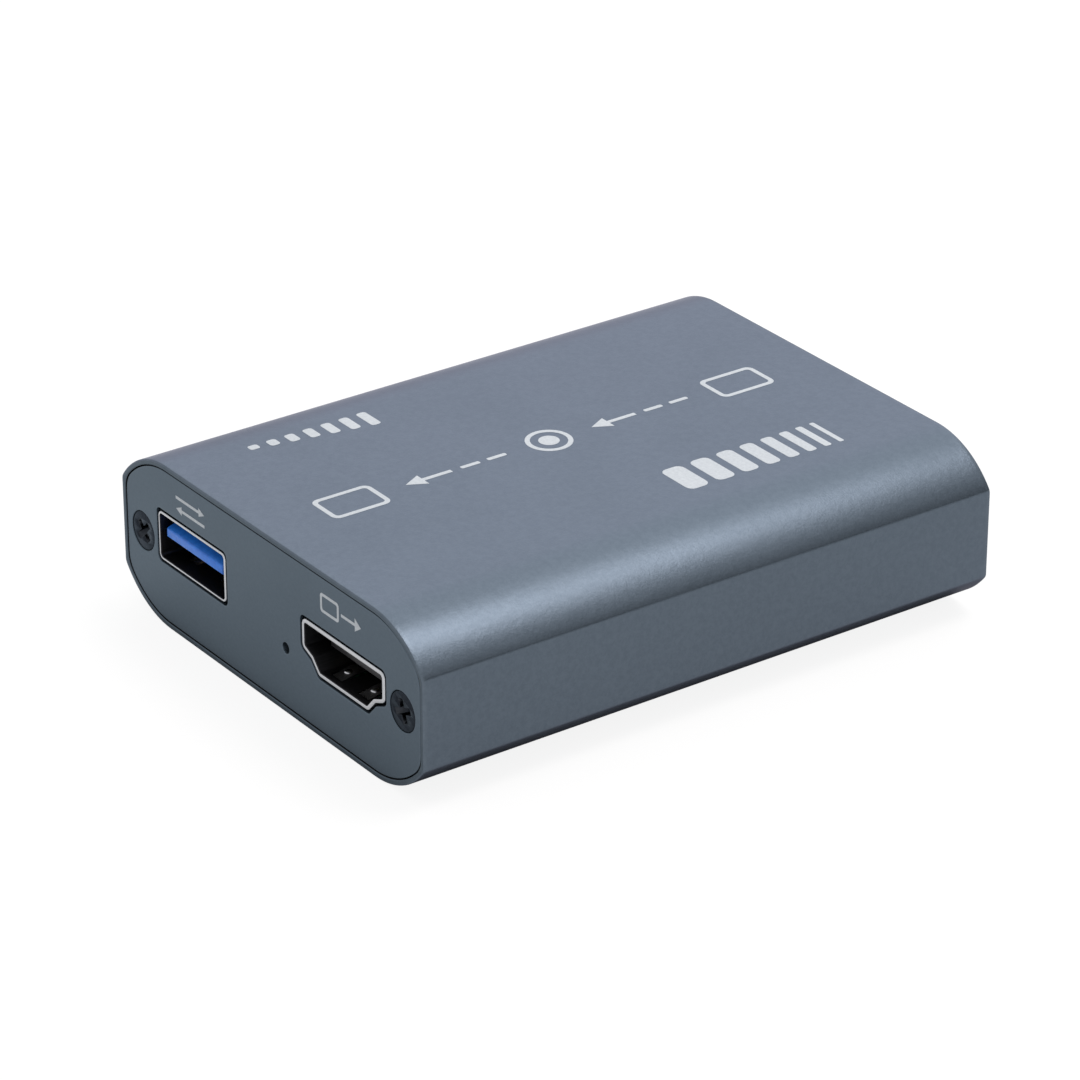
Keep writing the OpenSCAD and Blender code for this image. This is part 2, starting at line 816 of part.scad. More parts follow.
module data_socket_insulator() {
  fill = inset_outline(rectangle(data_w, data_h), data_wall + seat_gap);
  groove_half = beam_w / 2 + finger_gap;
  color(tongue_blue) at_data_socket() difference() {
    union() {
      translate([0, 0, data_rise]) along_y(data_reach, data_block_end) {
        polygon(rounded(fill, data_r - data_wall));
      }
      block(
        [-tongue_w / 2, tongue_w / 2],
        [tongue_sink, data_reach + cut],
        [tongue_floor, tongue_floor + tongue_t]
      );
      block(
        [seat_gap - tongue_w / 2, tongue_w / 2 - seat_gap],
        [data_open_y + seat_gap, data_block_end],
        [0, data_floor + cut]
      );
    }
    data_contacts();
    for (x = beam_x) {
      block(
        [x - groove_half, x + groove_half],
        [groove_y, data_reach],
        [tongue_floor - cut, tongue_floor + beam_groove]
      );
    }
  }
}

module data_socket_lower_fingers() {
  color(plated) at_data_socket() fingers(data_finger_y, data_floor, data_finger_rise, data_finger_pitch);
}

module data_socket_upper_fingers() {
  color(plated) at_data_socket() at_roof(data_rise) {
    fingers(data_finger_y, data_floor, data_finger_rise, data_finger_pitch);
  }
}

module video_shell() {
  hollow = inset_outline(video_outline, video_wall);
  difference() {
    union() {
      translate([0, 0, video_base]) difference() {
        along_y(0, video_len) polygon(rounded(video_outline, video_r));
        along_y(-cut, video_len + cut) polygon(rounded(hollow, video_r - video_wall));
      }
      legs(video_w, video_wall, video_leg_w, video_leg_y, video_rise + video_wall);
    }
    finger_windows(video_finger_y, video_floor, video_wall, video_finger_pitch);
    at_roof(video_rise) finger_windows(video_finger_y, video_floor, video_wall, video_finger_pitch);
    block(
      [-video_foot_w / 2, video_foot_w / 2],
      [video_open_y, video_len + cut],
      [video_base - cut, video_floor + video_wall]
    );
  }
}

// A contact along the tongue, through the insulator and down to a tail on the board.
module video_contact(z) {
  half = video_contact_w / 2;
  drop_y = video_len + seat_gap;
  block([-half, half], [blade_sink + contact_t, drop_y + contact_t], [z, z + contact_t]);
  block([-half, half], [drop_y, drop_y + contact_t], [0, z + contact_t]);
  block([-half, half], [drop_y, drop_y + video_tail], [0, contact_t]);
}

module video_contacts() {
  for (x = centred(video_upper_count, video_pitch)) {
    translate([x, 0, 0]) video_contact(blade_top - contact_t);
  }
  for (x = centred(video_upper_count - 1, video_pitch)) {
    translate([x, 0, 0]) video_contact(blade_top - blade_t);
  }
}

module video_insulator() {
  fill = inset_outline(video_outline, video_wall + seat_gap);
  difference() {
    union() {
      translate([0, 0, video_base]) along_y(video_reach, video_block_end) {
        polygon(rounded(fill, video_r - video_wall));
      }
      block([-blade_w / 2, blade_w / 2], [blade_sink, video_reach + cut], [blade_top - blade_t, blade_top]);
      block(
        [seat_gap - video_foot_w / 2, video_foot_w / 2 - seat_gap],
        [video_open_y + seat_gap, video_block_end],
        [0, video_floor + cut]
      );
    }
    video_contacts();
  }
}

module video_fingers() {
  fingers(video_finger_y, video_floor, video_finger_rise, video_finger_pitch);
}

module video_out_shell() {
  color(plated) at_video_out() video_shell();
}

module video_out_insulator() {
  color(moulded_black) at_video_out() video_insulator();
}

module video_out_contacts() {
  color(gold) at_video_out() video_contacts();
}

module video_out_lower_fingers() {
  color(plated) at_video_out() video_fingers();
}

module video_out_upper_fingers() {
  color(plated) at_video_out() at_roof(video_rise) video_fingers();
}

module video_in_shell() {
  color(plated) at_video_in() video_shell();
}

module video_in_insulator() {
  color(moulded_black) at_video_in() video_insulator();
}

module video_in_contacts() {
  color(gold) at_video_in() video_contacts();
}

module video_in_lower_fingers() {
  color(plated) at_video_in() video_fingers();
}

module video_in_upper_fingers() {
  color(plated) at_video_in() at_roof(video_rise) video_fingers();
}

module video_leg_holes() {
  leg_holes(video_w, video_wall, video_leg_w, video_leg_y);
}

module main_board() {
  color(board_green) difference() {
    block([-board_half_w, board_half_w], [-board_half_d, board_half_d], [board_floor, board_top]);
    at_data_socket() {
      leg_holes(data_w, data_wall, data_leg_w, data_leg_y);
      data_pin_holes();
    }
    at_video_out() video_leg_holes();
    at_video_in() video_leg_holes();
  }
}

module capture_chip() {
  color(package_black) on_board(capture_x, 0, [capture_side, capture_side, capture_h]);
}

module thermal_tape() {
  color(tape_grey) translate([0, 0, capture_h]) {
    on_board(capture_x, 0, [capture_side, capture_side, tape_t]);
  }
}

module heat_sink() {
  half = sink_side / 2;
  fin_pitch = (sink_side - fin_t) / (fin_count - 1);
  color(sink_black) translate([capture_x, 0, sink_z]) {
    block([-half, half], [-half, half], [0, sink_base]);
    for (x = centred(fin_count, fin_pitch)) {
      block([x - fin_t / 2, x + fin_t / 2], [-half, half], [0, sink_h]);
    }
  }
}

module loop_chip() {
  color(package_black) on_board(video_x, 0, [loop_side, loop_side, loop_h]);
}

module memory_chip() {
  color(package_black) translate([0, 0, contact_t]) {
    on_board(data_x, memory_y, [memory_side, memory_side, memory_h - contact_t]);
  }
}

// A bent lead that leaves a package at the origin along +X and stands on the board.
module lead(height, reach) {
  y = [-lead_w / 2, lead_w / 2];
  bend_x = reach / 2;
  block([0, bend_x], y, [height - contact_t, height]);
  block([bend_x - contact_t, bend_x], y, [0, height]);
  block([bend_x - contact_t, reach], y, [0, contact_t]);
}

// Two rows of leads on opposite sides of a package at the origin.
module lead_rows(count, pitch, half_body, height, reach) {
  for (turn = [0, 180]) {
    rotate(turn) {
      for (y = centred(count, pitch)) {
        translate([half_body, y, 0]) lead(height, reach);
      }
    }
  }
}

module memory_chip_leads() {
  color(plated) translate([data_x, memory_y, board_top]) {
    lead_rows(4, memory_pitch, memory_side / 2, memory_h / 2, memory_lead);
  }
}

// The middle of each inductor and its regulator along the width.
function coil_x() = [for (x = centred(coil_count, coil_pitch)) data_x + coil_pitch / 2 + x];

module voltage_regulators() {
  size = [regulator_w, regulator_d, regulator_h - contact_t];
  color(package_black) translate([0, 0, contact_t]) {
    for (x = coil_x()) {
      on_board(x, regulator_y, size);
    }
  }
}

module regulator_leads() {
  color(plated) {
    for (x = coil_x()) {
      translate([x, regulator_y, board_top]) rotate(90) {
        lead_rows(3, regulator_pitch, regulator_d / 2, regulator_h / 2, regulator_lead);
      }
    }
  }
}

module power_inductors() {
  color(ferrite_grey) {
    for (x = coil_x()) {
      on_board(x, coil_y, [coil_side, coil_side, coil_h]);
    }
  }
}

module at_bulk_capacitors() {
  for (i = [0, 1]) {
    translate([bulk_x, fuse_y - i * (bulk_d + part_gap), board_top]) children();
  }
}

module bulk_capacitors() {
  color(can_silver) at_bulk_capacitors() {
    translate([0, 0, bulk_base_h]) cylinder(d = bulk_d, h = bulk_h - bulk_base_h);
  }
}

module bulk_capacitor_bases() {
  half = bulk_d / 2;
  color(moulded_black) at_bulk_capacitors() block([-half, half], [-half, half], [0, bulk_base_h]);
}

module supply_fuse() {
  color(fuse_green) on_board(data_x, fuse_y, [fuse_len, fuse_w, fuse_h]);
}

module crystals() {
  color(plated) {
    on_board(capture_x + sink_side / 2 + part_gap + crystal_w / 2, 0, [crystal_w, crystal_len, crystal_h]);
    on_board(video_x, loop_side / 2 + part_gap + crystal_w / 2, [crystal_len, crystal_w, crystal_h]);
  }
}

// A row of equal parts along X.
module part_row(x, y, count, pitch, size) {
  for (step = centred(count, pitch)) {
    on_board(x + step, y, size);
  }
}

module ceramic_capacitors() {
  size = [cap_w, cap_len, cap_w];
  away = part_gap + cap_len / 2;
  color(ceramic_tan) {
    part_row(capture_x, sink_side / 2 + away, capture_caps, cap_pitch, size);
    part_row(capture_x, -sink_side / 2 - away, capture_caps, cap_pitch, size);
    part_row(video_x, -loop_side / 2 - away, loop_caps, cap_pitch, size);
    part_row(data_x, coil_y - coil_side / 2 - away, coil_caps, cap_pitch, size);
  }
}

module resistors() {
  color(package_black) {
    for (y = [-resistor_y, resistor_y]) {
      part_row(video_x, y, resistor_count, resistor_pitch, [resistor_w, resistor_len, resistor_h]);
    }
  }
}

module surge_arrays() {
  color(package_black) {
    for (y = [-array_y, array_y]) {
      part_row(video_x, y, array_count, array_pitch, [array_len, array_w, array_h]);
    }
  }
}

module status_light_body() {
  color(light_white) on_board(led_x, led_d / 2 - board_half_d, [led_w, led_d, 2 * led_rise]);
}

module status_light_lens() {
  color(lens_clear) translate([led_x, 0, board_top + led_rise]) {
    along_y(-plate_back, -board_half_d) circle(d = lens_d);
  }
}

sleeve();
front_plate();
rear_plate();
front_plate_screws();
rear_plate_screws();
main_board();
data_socket_shell();
data_socket_insulator();
data_socket_contacts();
data_socket_sprung_contacts();
data_socket_upper_fingers();
data_socket_lower_fingers();
video_out_shell();
video_out_insulator();
video_out_contacts();
video_out_upper_fingers();
video_out_lower_fingers();
video_in_shell();
video_in_insulator();
video_in_contacts();
video_in_upper_fingers();
video_in_lower_fingers();
capture_chip();
thermal_tape();
heat_sink();
loop_chip();
memory_chip();
memory_chip_leads();
voltage_regulators();
regulator_leads();
power_inductors();
bulk_capacitors();
bulk_capacitor_bases();
supply_fuse();
crystals();
ceramic_capacitors();
resistors();
surge_arrays();
status_light_body();
status_light_lens();
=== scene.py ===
"""Looks of a video capture box: an anodised sleeve, two screwed end plates and three sockets.

Lengths are in millimetres until a mesh is finished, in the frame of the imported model: +Z is up and
the front faces -Y.
"""

import json
import logging
import math
from collections.abc import Callable, Iterable, Sequence
from dataclasses import dataclass, field
from enum import Enum

import bmesh
import bpy
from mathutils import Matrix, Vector
from mathutils.geometry import tessellate_polygon


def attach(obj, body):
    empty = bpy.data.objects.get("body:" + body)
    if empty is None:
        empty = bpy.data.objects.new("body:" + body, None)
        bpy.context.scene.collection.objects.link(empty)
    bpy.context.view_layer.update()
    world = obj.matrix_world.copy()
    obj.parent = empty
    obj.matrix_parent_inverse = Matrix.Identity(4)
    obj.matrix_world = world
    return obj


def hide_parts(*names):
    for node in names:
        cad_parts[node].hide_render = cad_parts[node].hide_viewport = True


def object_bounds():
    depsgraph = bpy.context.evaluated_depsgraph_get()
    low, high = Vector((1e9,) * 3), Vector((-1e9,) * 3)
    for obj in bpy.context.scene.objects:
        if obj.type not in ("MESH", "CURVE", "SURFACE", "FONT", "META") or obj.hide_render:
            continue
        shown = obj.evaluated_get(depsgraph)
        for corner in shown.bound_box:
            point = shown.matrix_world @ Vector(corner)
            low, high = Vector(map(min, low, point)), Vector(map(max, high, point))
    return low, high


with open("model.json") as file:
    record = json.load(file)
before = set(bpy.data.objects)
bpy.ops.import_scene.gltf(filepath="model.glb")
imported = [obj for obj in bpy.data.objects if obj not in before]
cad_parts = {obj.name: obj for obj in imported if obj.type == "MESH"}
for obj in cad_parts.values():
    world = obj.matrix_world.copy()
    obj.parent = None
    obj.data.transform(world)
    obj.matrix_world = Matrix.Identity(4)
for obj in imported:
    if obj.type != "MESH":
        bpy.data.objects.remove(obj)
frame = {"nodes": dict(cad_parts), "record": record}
CAD_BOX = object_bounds()

MM = 0.001
WEAR = "wear"
ROOT_BODY = "box"

# An edge that turns by more than the first limit is shaded sharp. One of a solid that turns by
# more than the second limit may be rounded.
SMOOTH_LIMIT = math.radians(40.0)
ROUND_LIMIT = math.radians(46.0)

# Points this close are merged: in a drawing, in millimetres, and in a copied solid, in metres.
DRAFT_MERGE = 1e-5
SOLID_MERGE = 1e-7

# Cells of noise in a metre, for the worn edges and for the smudges.
WEAR_SCALE = 900.0
SMUDGE_SCALE = 70.0

log = logging.getLogger("capture_box")

Colour = tuple[float, float, float]
Flat = tuple[float, float]
Loop = list[bmesh.types.BMVert]
Mesh = bpy.types.Mesh
Material = bpy.types.Material
Output = bpy.types.NodeSocket

UNIT: Flat = (0.0, 1.0)
WHITE = (1.0, 1.0, 1.0, 1.0)
ROUND_DEGREES = (0, 30, 60, 90)


class End(Enum):
    """The two ends of the sleeve, valued by their side along the depth."""

    FRONT = -1
    REAR = 1


class Wall(Enum):
    """The two walls of a socket that carry spring fingers."""

    LOWER = "lower"
    UPPER = "upper"


class Grain(Enum):
    """Shared surface textures, valued by the name of their node group."""

    BLASTED = "blasted_grain"
    BRUSHED = "brushed_lines"
    MOULDED = "moulded_skin"


# Outlines


def arc(centre: Flat, radius: float, first: float, last: float, steps: int) -> list[Flat]:
    """Points along an arc.

    Args:
        centre: middle of the arc.
        radius: its radius.
        first: angle of the first point, in radians.
        last: angle of the last point, in radians.
        steps: number of chords.

    Returns:
        The points, both ends included.
    """
    angles = [first + (last - first) * i / steps for i in range(steps + 1)]
    return [(centre[0] + radius * math.cos(a), centre[1] + radius * math.sin(a)) for a in angles]


def circle(centre: Flat, radius: float, steps: int) -> list[Flat]:
    """Points of a closed circle, the first one not repeated."""
    return arc(centre, radius, 0.0, math.tau, steps)[:-1]


def rectangle(width: float, height: float) -> list[Flat]:
    """Corners of a rectangle about the origin, counter-clockwise."""
    w, h = width / 2, height / 2
    return [(-w, -h), (w, -h), (w, h), (-w, h)]


def moved(outline: Iterable[Flat], by: Flat) -> list[Flat]:
    """The outline shifted by a step."""
    return [(x + by[0], y + by[1]) for x, y in outline]


def drawn_in(outline: Sequence[Flat], inset: float) -> list[Flat]:
    """Moves every side of a counter-clockwise outline inwards.

    Args:
        outline: corners of the outline.
        inset: distance, negative to grow the outline.

    Returns:
        The new corners, in the same order.
    """
    corners = []
    for i, b in enumerate(outline):
        before = (Vector(b) - Vector(outline[i - 1])).normalized()
        after = (Vector(outline[(i + 1) % len(outline)]) - Vector(b)).normalized()
        one, two = Vector((-before.y, before.x)), Vector((-after.y, after.x))
        step = (one + two) * inset / (1 + one.dot(two))
        corners.append((b[0] + step.x, b[1] + step.y))
    return corners


def rounded(outline: Sequence[Flat], radius: float, steps: int = 6) -> list[Flat]:
    """Rounds every corner of a closed outline.

    Args:
        outline: corners of the outline.
        radius: radius of each corner.
        steps: chords in each corner.

    Returns:
        The points of the rounded outline.
    """
    points = []
    for i, corner in enumerate(outline):
        b = Vector(corner)
        to_a = (Vector(outline[i - 1]) - b).normalized()
        to_c = (Vector(outline[(i + 1) % len(outline)]) - b).normalized()
        half = to_a.angle(to_c) / 2
        centre = b + (to_a + to_c).normalized() * radius / math.sin(half)
        start = b + to_a * radius / math.tan(half) - centre
        turn = to_a.x * to_c.y - to_a.y * to_c.x
        sweep = math.copysign(math.pi - 2 * half, -turn)
        first = math.atan2(start.y, start.x)
        points += arc(tuple(centre), radius, first, first + sweep, steps)
    return points


def upright(outline: Iterable[Flat], depth: float) -> list[Vector]:
    """An outline of width and height, stood up at a depth."""
    return [Vector((x, depth, z)) for x, z in outline]


def round_over(radius: float) -> list[Flat]:
    """Steps over a rounded edge, from the face round to the side.

    Args:
        radius: radius of the edge.

    Returns:
        Pairs of how far each step lies in from the side and back from the face.
    """
    angles = [math.radians(degrees) for degrees in ROUND_DEGREES]
    return [(radius * (1 - math.sin(a)), radius * (1 - math.cos(a))) for a in angles]


def eased(share: float) -> float:
    """A share from 0 to 1 that starts and stops gently."""
    return share * share * (3 - 2 * share)


# Meshes


class Draft:
    """A mesh that is drawn in millimetres and finished in metres.

    New faces take the finish that is in use when they are drawn.
    """

    def __init__(self, *finishes: "Finish") -> None:
        """Starts an empty drawing whose points carry a wear value.

        Args:
            finishes: its finishes, of which the first one is in use.
        """
        self.bm = bmesh.new()
        self.wear = self.bm.verts.layers.float.new(WEAR)
        self.finishes = finishes
        self.slot = 0

    def use(self, finish: "Finish") -> None:
        """Draws the next faces in another of the drawing's finishes."""
        self.slot = self.finishes.index(finish)

    def ring(self, points: Iterable[Vector], wear: float = 0.0) -> Loop:
        """Adds a loop of points.

        Args:
            points: places of the points.
            wear: how far the finish is worn there, from 0 to 1.

        Returns:
            The new points in order.
        """
        loop = [self.bm.verts.new(p) for p in points]
        for vert in loop:
            vert[self.wear] = wear
        return loop

    def bridge(self, one: Loop, two: Loop, smooth: bool = True) -> None:
        """Joins two loops of equal count with quads.

        Args:
            one: the first loop.
            two: the second loop.
            smooth: whether the quads are shaded as a curved surface.
        """
        for i, vert in enumerate(one):
            j = (i + 1) % len(one)
            face = self.bm.faces.new((vert, one[j], two[j], two[i]))
            face.smooth, face.material_index = smooth, self.slot

    def stack(self, loops: Sequence[Loop]) -> None:
        """Joins each loop to the next one."""
        for one, two in zip(loops, loops[1:]):
            self.bridge(one, two)

    def fill(self, outer: Loop, holes: Sequence[Loop] = ()) -> None:
        """Fills a flat loop.

        Args:
            outer: the loop.
            holes: the loops in it that stay open.
        """
        loops = [outer, *holes]
        verts = [vert for loop in loops for vert in loop]
        for triangle in tessellate_polygon([[vert.co for vert in loop] for loop in loops]):
            self.bm.faces.new([verts[i] for i in triangle]).material_index = self.slot

    def slab(self, low: Sequence[Vector], high: Sequence[Vector]) -> None:
        """Adds a closed slab.

        Args:
            low: the outline of its foot.
            high: the outline of its top, of equal count.
        """
        one, two = self.ring(low), self.ring(high)
        self.bridge(one, two, smooth=False)
        self.fill(one)
        self.fill(two)

    def hoop(self, low: Sequence[Sequence[Vector]], high: Sequence[Sequence[Vector]]) -> None:
        """Adds a closed slab with one opening.

        Args:
            low: the outer and the inner outline of its foot.
            high: the outer and the inner outline of its top.
        """
        below, above = [self.ring(p) for p in low], [self.ring(p) for p in high]
        for one, two in (*zip(below, above), below, above):
            self.bridge(one, two, smooth=False)

    def mesh(self, name: str) -> Mesh:
        """Closes the drawing.

        Args:
            name: name of the mesh.

        Returns:
            A mesh in metres, its faces turned outwards.
        """
        bmesh.ops.remove_doubles(self.bm, verts=self.bm.verts, dist=DRAFT_MERGE)
        bmesh.ops.recalc_face_normals(self.bm, faces=self.bm.faces)
        bmesh.ops.scale(self.bm, vec=(MM, MM, MM), verts=self.bm.verts)
        made = bpy.data.meshes.new(name)
        self.bm.to_mesh(made)
        self.bm.free()
        made.set_sharp_from_angle(angle=SMOOTH_LIMIT)
        for finish in self.finishes:
            made.materials.append(finish.material())
        return made


def lathe(draft: Draft, profile: Sequence[Flat], steps: int) -> list[Loop]:
    """Turns a profile round the Y axis.

    Args:
        draft: drawing that takes the surface.
        profile: pairs of radius and depth.
        steps: points in each loop.

    Returns:
        The loops, joined in order, with both ends open.
    """
    loops = [draft.ring(upright(circle((0.0, 0.0), r, steps), y)) for r, y in profile]
    draft.stack(loops)
    return loops


def linked(name: str, data: bpy.types.ID | None) -> bpy.types.Object:
    """Links a new object to the scene.

    Args:
        name: its name.
        data: what it holds.

    Returns:
        The object, at the origin.
    """
    made = bpy.data.objects.new(name, data)
    bpy.context.scene.collection.objects.link(made)
    return made


def joined(name: str, meshes: Sequence[Mesh]) -> Mesh:
    """Puts meshes together in one, with all their materials.

    Args:
        name: name of the new mesh.
        meshes: what goes into it; they are removed.

    Returns:
        The new mesh.
    """
    whole = bmesh.new()
    materials: list[Material] = []
    for part in meshes:
        first = len(whole.faces)
        whole.from_mesh(part)
        whole.faces.ensure_lookup_table()
        for material in part.materials:
            if material not in materials:
                materials.append(material)
        places = [materials.index(m) for m in part.materials] or [0]
        for face in whole.faces[first:]:
            face.material_index = places[min(face.material_index, len(places) - 1)]
        bpy.data.meshes.remove(part)
    made = bpy.data.meshes.new(name)
    whole.to_mesh(made)
    whole.free()
    for material in materials:
        made.materials.append(material)
    return made


# Nodes


class Bench:
    """Adds and links the nodes of one tree."""

    def __init__(self, tree: bpy.types.NodeTree) -> None:
        """Takes the tree to work on."""
        self.tree = tree

    def add(self, kind: str, feeds: dict | None = None, **settings: object) -> bpy.types.Node:
        """Adds a node.

        Args:
            kind: its type name.
            feeds: for each input, a value or the output that feeds it.
            settings: its other properties.

        Returns:
            The node.
        """
        node = self.tree.nodes.new(kind)
        for label, value in settings.items():
            setattr(node, label, value)
        for label, value in (feeds or {}).items():
            socket = node.inputs[label]
            if isinstance(value, Output):
                self.tree.links.new(value, socket)
            else:
                socket.default_value = value
        return node

    def math(self, operation: str, one: object, two: object = 0.0) -> Output:
        """The output of a Math node with these two inputs."""
        return self.add("ShaderNodeMath", {0: one, 1: two}, operation=operation).outputs[0]

    def spread(self, value: object, source: Flat, target: Flat) -> Output:
        """The output of a Map Range node that turns one range into another."""
        feeds = {0: value, 1: source[0], 2: source[1], 3: target[0], 4: target[1]}
        return self.add("ShaderNodeMapRange", feeds).outputs[0]

    def blend(self, share: object, one: object, two: object) -> Output:
        """Blends two colours.

        Args:
            share: the share of the second one.
            one: the first colour, or the output that gives it.
            two: the second colour, or the output that gives it.

        Returns:
            The output with the blended colour.
        """
        ends = [v if isinstance(v, Output) else (*v, 1.0) for v in (one, two)]
        feeds = {0: share, 6: ends[0], 7: ends[1]}
        return self.add("ShaderNodeMix", feeds, data_type="RGBA").outputs[2]

    def weighed(self, one: object, two: object, share: float) -> Output:
        """The sum of two values, the first one at a share and the second one at the rest."""
        parts = [self.math("MULTIPLY", v, s) for v, s in ((one, share), (two, 1.0 - share))]
        return self.math("ADD", *parts)

    def noise(
        self,
        place: Output,
        scale: object,
        detail: float = 2.0,
        roughness: float = 0.5,
        distortion: float = 0.0,
    ) -> Output:
        """Adds a noise texture.

        Args:
            place: where it is read.
            scale: how fine it is.
            detail: number of its finer layers.
            roughness: weight of the finer layers.
            distortion: how far it is stirred.

        Returns:
            The output with its value.
        """
        feeds = {
            "Vector": place,
            "Scale": scale,
            "Detail": detail,
            "Roughness": roughness,
            "Distortion": distortion,
        }
        return self.add("ShaderNodeTexNoise", feeds).outputs[0]


class PieceTree:
    """Geometry nodes with named inputs that end in real, dressed pieces."""

    def __init__(self, name: str, inputs: dict[str, str]) -> None:
        """Opens a tree.

        Args:
            name: name of the tree.
            inputs: each input's name and socket type, besides the finish.
        """
        self.tree = bpy.data.node_groups.new(name, "GeometryNodeTree")
        face = self.tree.interface
        self.keys = {
            label: face.new_socket(name=label, in_out="INPUT", socket_type=kind).identifier
            for label, kind in {**inputs, "Finish": "NodeSocketMaterial"}.items()
        }
        face.new_socket(name="Pieces", in_out="OUTPUT", socket_type="NodeSocketGeometry")
        self.bench = Bench(self.tree)
        self.given = self.bench.add("NodeGroupInput").outputs

    def close(self, pieces: Output) -> None:
        """Realises the pieces, dresses them and ends the tree.

        Args:
            pieces: the output that holds them.
        """
        real = self.bench.add("GeometryNodeRealizeInstances", {"Geometry": pieces})
        feeds = {"Geometry": real.outputs[0], "Material": self.given["Finish"]}
        dressed = self.bench.add("GeometryNodeSetMaterial", feeds)
        self.bench.add("NodeGroupOutput", {"Pieces": dressed.outputs[0]})

    def run(self, name: str, values: dict[str, object]) -> Mesh:
        """Runs the tree once.

        Args:
            name: name of the mesh.
            values: a value for each input; object inputs are removed afterwards.

        Returns:
            The pieces as a plain mesh.
        """
        holder = linked(name, bpy.data.meshes.new(name))
        modifier = holder.modifiers.new(self.tree.name, "NODES")
        modifier.node_group = self.tree
        for label, value in values.items():
            modifier[self.keys[label]] = value
        graph = bpy.context.evaluated_depsgraph_get()
        made = bpy.data.meshes.new_from_object(holder.evaluated_get(graph))
        holder.modifiers.remove(modifier)
        for used in [holder, *(v for v in values.values() if isinstance(v, bpy.types.Object))]:
            bpy.data.objects.remove(used)
        made.name = name
        for face in made.polygons:
            face.use_smooth = True
        made.set_sharp_from_angle(angle=SMOOTH_LIMIT)
        return made


class RowTree(PieceTree):
    """Copies of one piece along a straight row."""

    def __init__(self) -> None:
        """Builds the tree."""
        super().__init__("row_of_pieces", {
            "Piece": "NodeSocketObject",
            "Count": "NodeSocketInt",
            "Start": "NodeSocketVector",
            "Step": "NodeSocketVector",
            "Twist": "NodeSocketVector",
        })
        given = self.given
        feeds = {"Count": given["Count"], "Start Location": given["Start"], "Offset": given["Step"]}
        line = self.bench.add("GeometryNodeMeshLine", feeds, mode="OFFSET")
        info = self.bench.add("GeometryNodeObjectInfo", {"Object": given["Piece"]})
        place = self.bench.add("GeometryNodeInputIndex").outputs[0]
        feeds = {0: given["Twist"], "Scale": place}
        turn = self.bench.add("ShaderNodeVectorMath", feeds, operation="SCALE")
        feeds = {
            "Points": line.outputs[0],
            "Instance": info.outputs["Geometry"],
            "Rotation": turn.outputs[0],
        }
        self.close(self.bench.add("GeometryNodeInstanceOnPoints", feeds).outputs[0])

    def row(
        self,
        piece: Mesh,
        finish: Material,
        count: int,
        start: Vector,
        step: Vector,
        twist: Vector = Vector(),
    ) -> Mesh:
        """Sets copies of a piece in a row.

        Args:
            piece: the piece about the origin.
            finish: its material.
            count: number of copies.
            start: place of the first one, in millimetres.
            step: from one to the next, in millimetres.
            twist: turn from one to the next about each axis, in radians.

        Returns:
            One mesh of all copies.
        """
        return self.run(piece.name, {
            "Piece": linked(piece.name, piece),
            "Count": count,
            "Start": tuple(start * MM),
            "Step": tuple(step * MM),
            "Twist": tuple(twist),
            "Finish": finish,
        })

    def pair(self, piece: Mesh, finish: Material, apart: float) -> Mesh:
        """Two copies of a piece, set apart along the width about its own place."""
        start, step = Vector((-apart / 2, 0.0, 0.0)), Vector((apart, 0.0, 0.0))
        return self.row(piece, finish, 2, start, step)


class StripTree(PieceTree):
    """A strip of sheet metal that follows a path."""

    BEND_STEPS = 4
    EDGE_STEPS = 2
    EDGE_SHARE = 0.25

    def __init__(self) -> None:
        """Builds the tree."""
        sizes = dict.fromkeys(("Width", "Thickness", "Edge", "Bend"), "NodeSocketFloat")
        super().__init__("strip_along_path", {"Path": "NodeSocketObject", **sizes})
        info = self.bench.add("GeometryNodeObjectInfo", {"Object": self.given["Path"]})
        path = self.soften(info.outputs["Geometry"], self.given["Bend"], self.BEND_STEPS)
        path = self.bench.add("GeometryNodeSetCurveNormal", {"Curve": path}, mode="Z_UP").outputs[0]
        feeds = {"Width": self.given["Width"], "Height": self.given["Thickness"]}
        quad = self.bench.add("GeometryNodeCurvePrimitiveQuadrilateral", feeds)
        section = self.soften(quad.outputs[0], self.given["Edge"], self.EDGE_STEPS)
        feeds = {"Curve": path, "Profile Curve": section, "Fill Caps": True}
        self.close(self.bench.add("GeometryNodeCurveToMesh", feeds).outputs[0])

    def soften(self, curve: Output, radius: Output, count: int) -> Output:
        """The curve with its corners rounded to a radius."""
        feeds = {"Curve": curve, "Count": count, "Radius": radius, "Limit Radius": True}
        return self.bench.add("GeometryNodeFilletCurve", feeds, mode="POLY").outputs[0]

    def strip(
        self,
        path: Sequence[Vector],
        finish: Material,
        width: float,
        thickness: float,
        bend: float = 0.0,
    ) -> Mesh:
        """Sweeps a strip.

        Args:
            path: points of its middle line.
            finish: its material.
            width: across the path.
            thickness: of the sheet.
            bend: radius of the path's corners.

        Returns:
            The strip as a closed mesh.
        """
        curve = bpy.data.curves.new("strip_path", "CURVE")
        curve.dimensions = "3D"
        spline = curve.splines.new("POLY")
        spline.points.add(len(path) - 1)
        for point, place in zip(spline.points, path):
            point.co = (*(place * MM), 1.0)
        return self.run("strip", {
            "Path": linked("strip_path", curve),
            "Width": width * MM,
            "Thickness": thickness * MM,
            "Edge": thickness * self.EDGE_SHARE * MM,
            "Bend": bend * MM,
            "Finish": finish,
        })


# Finishes


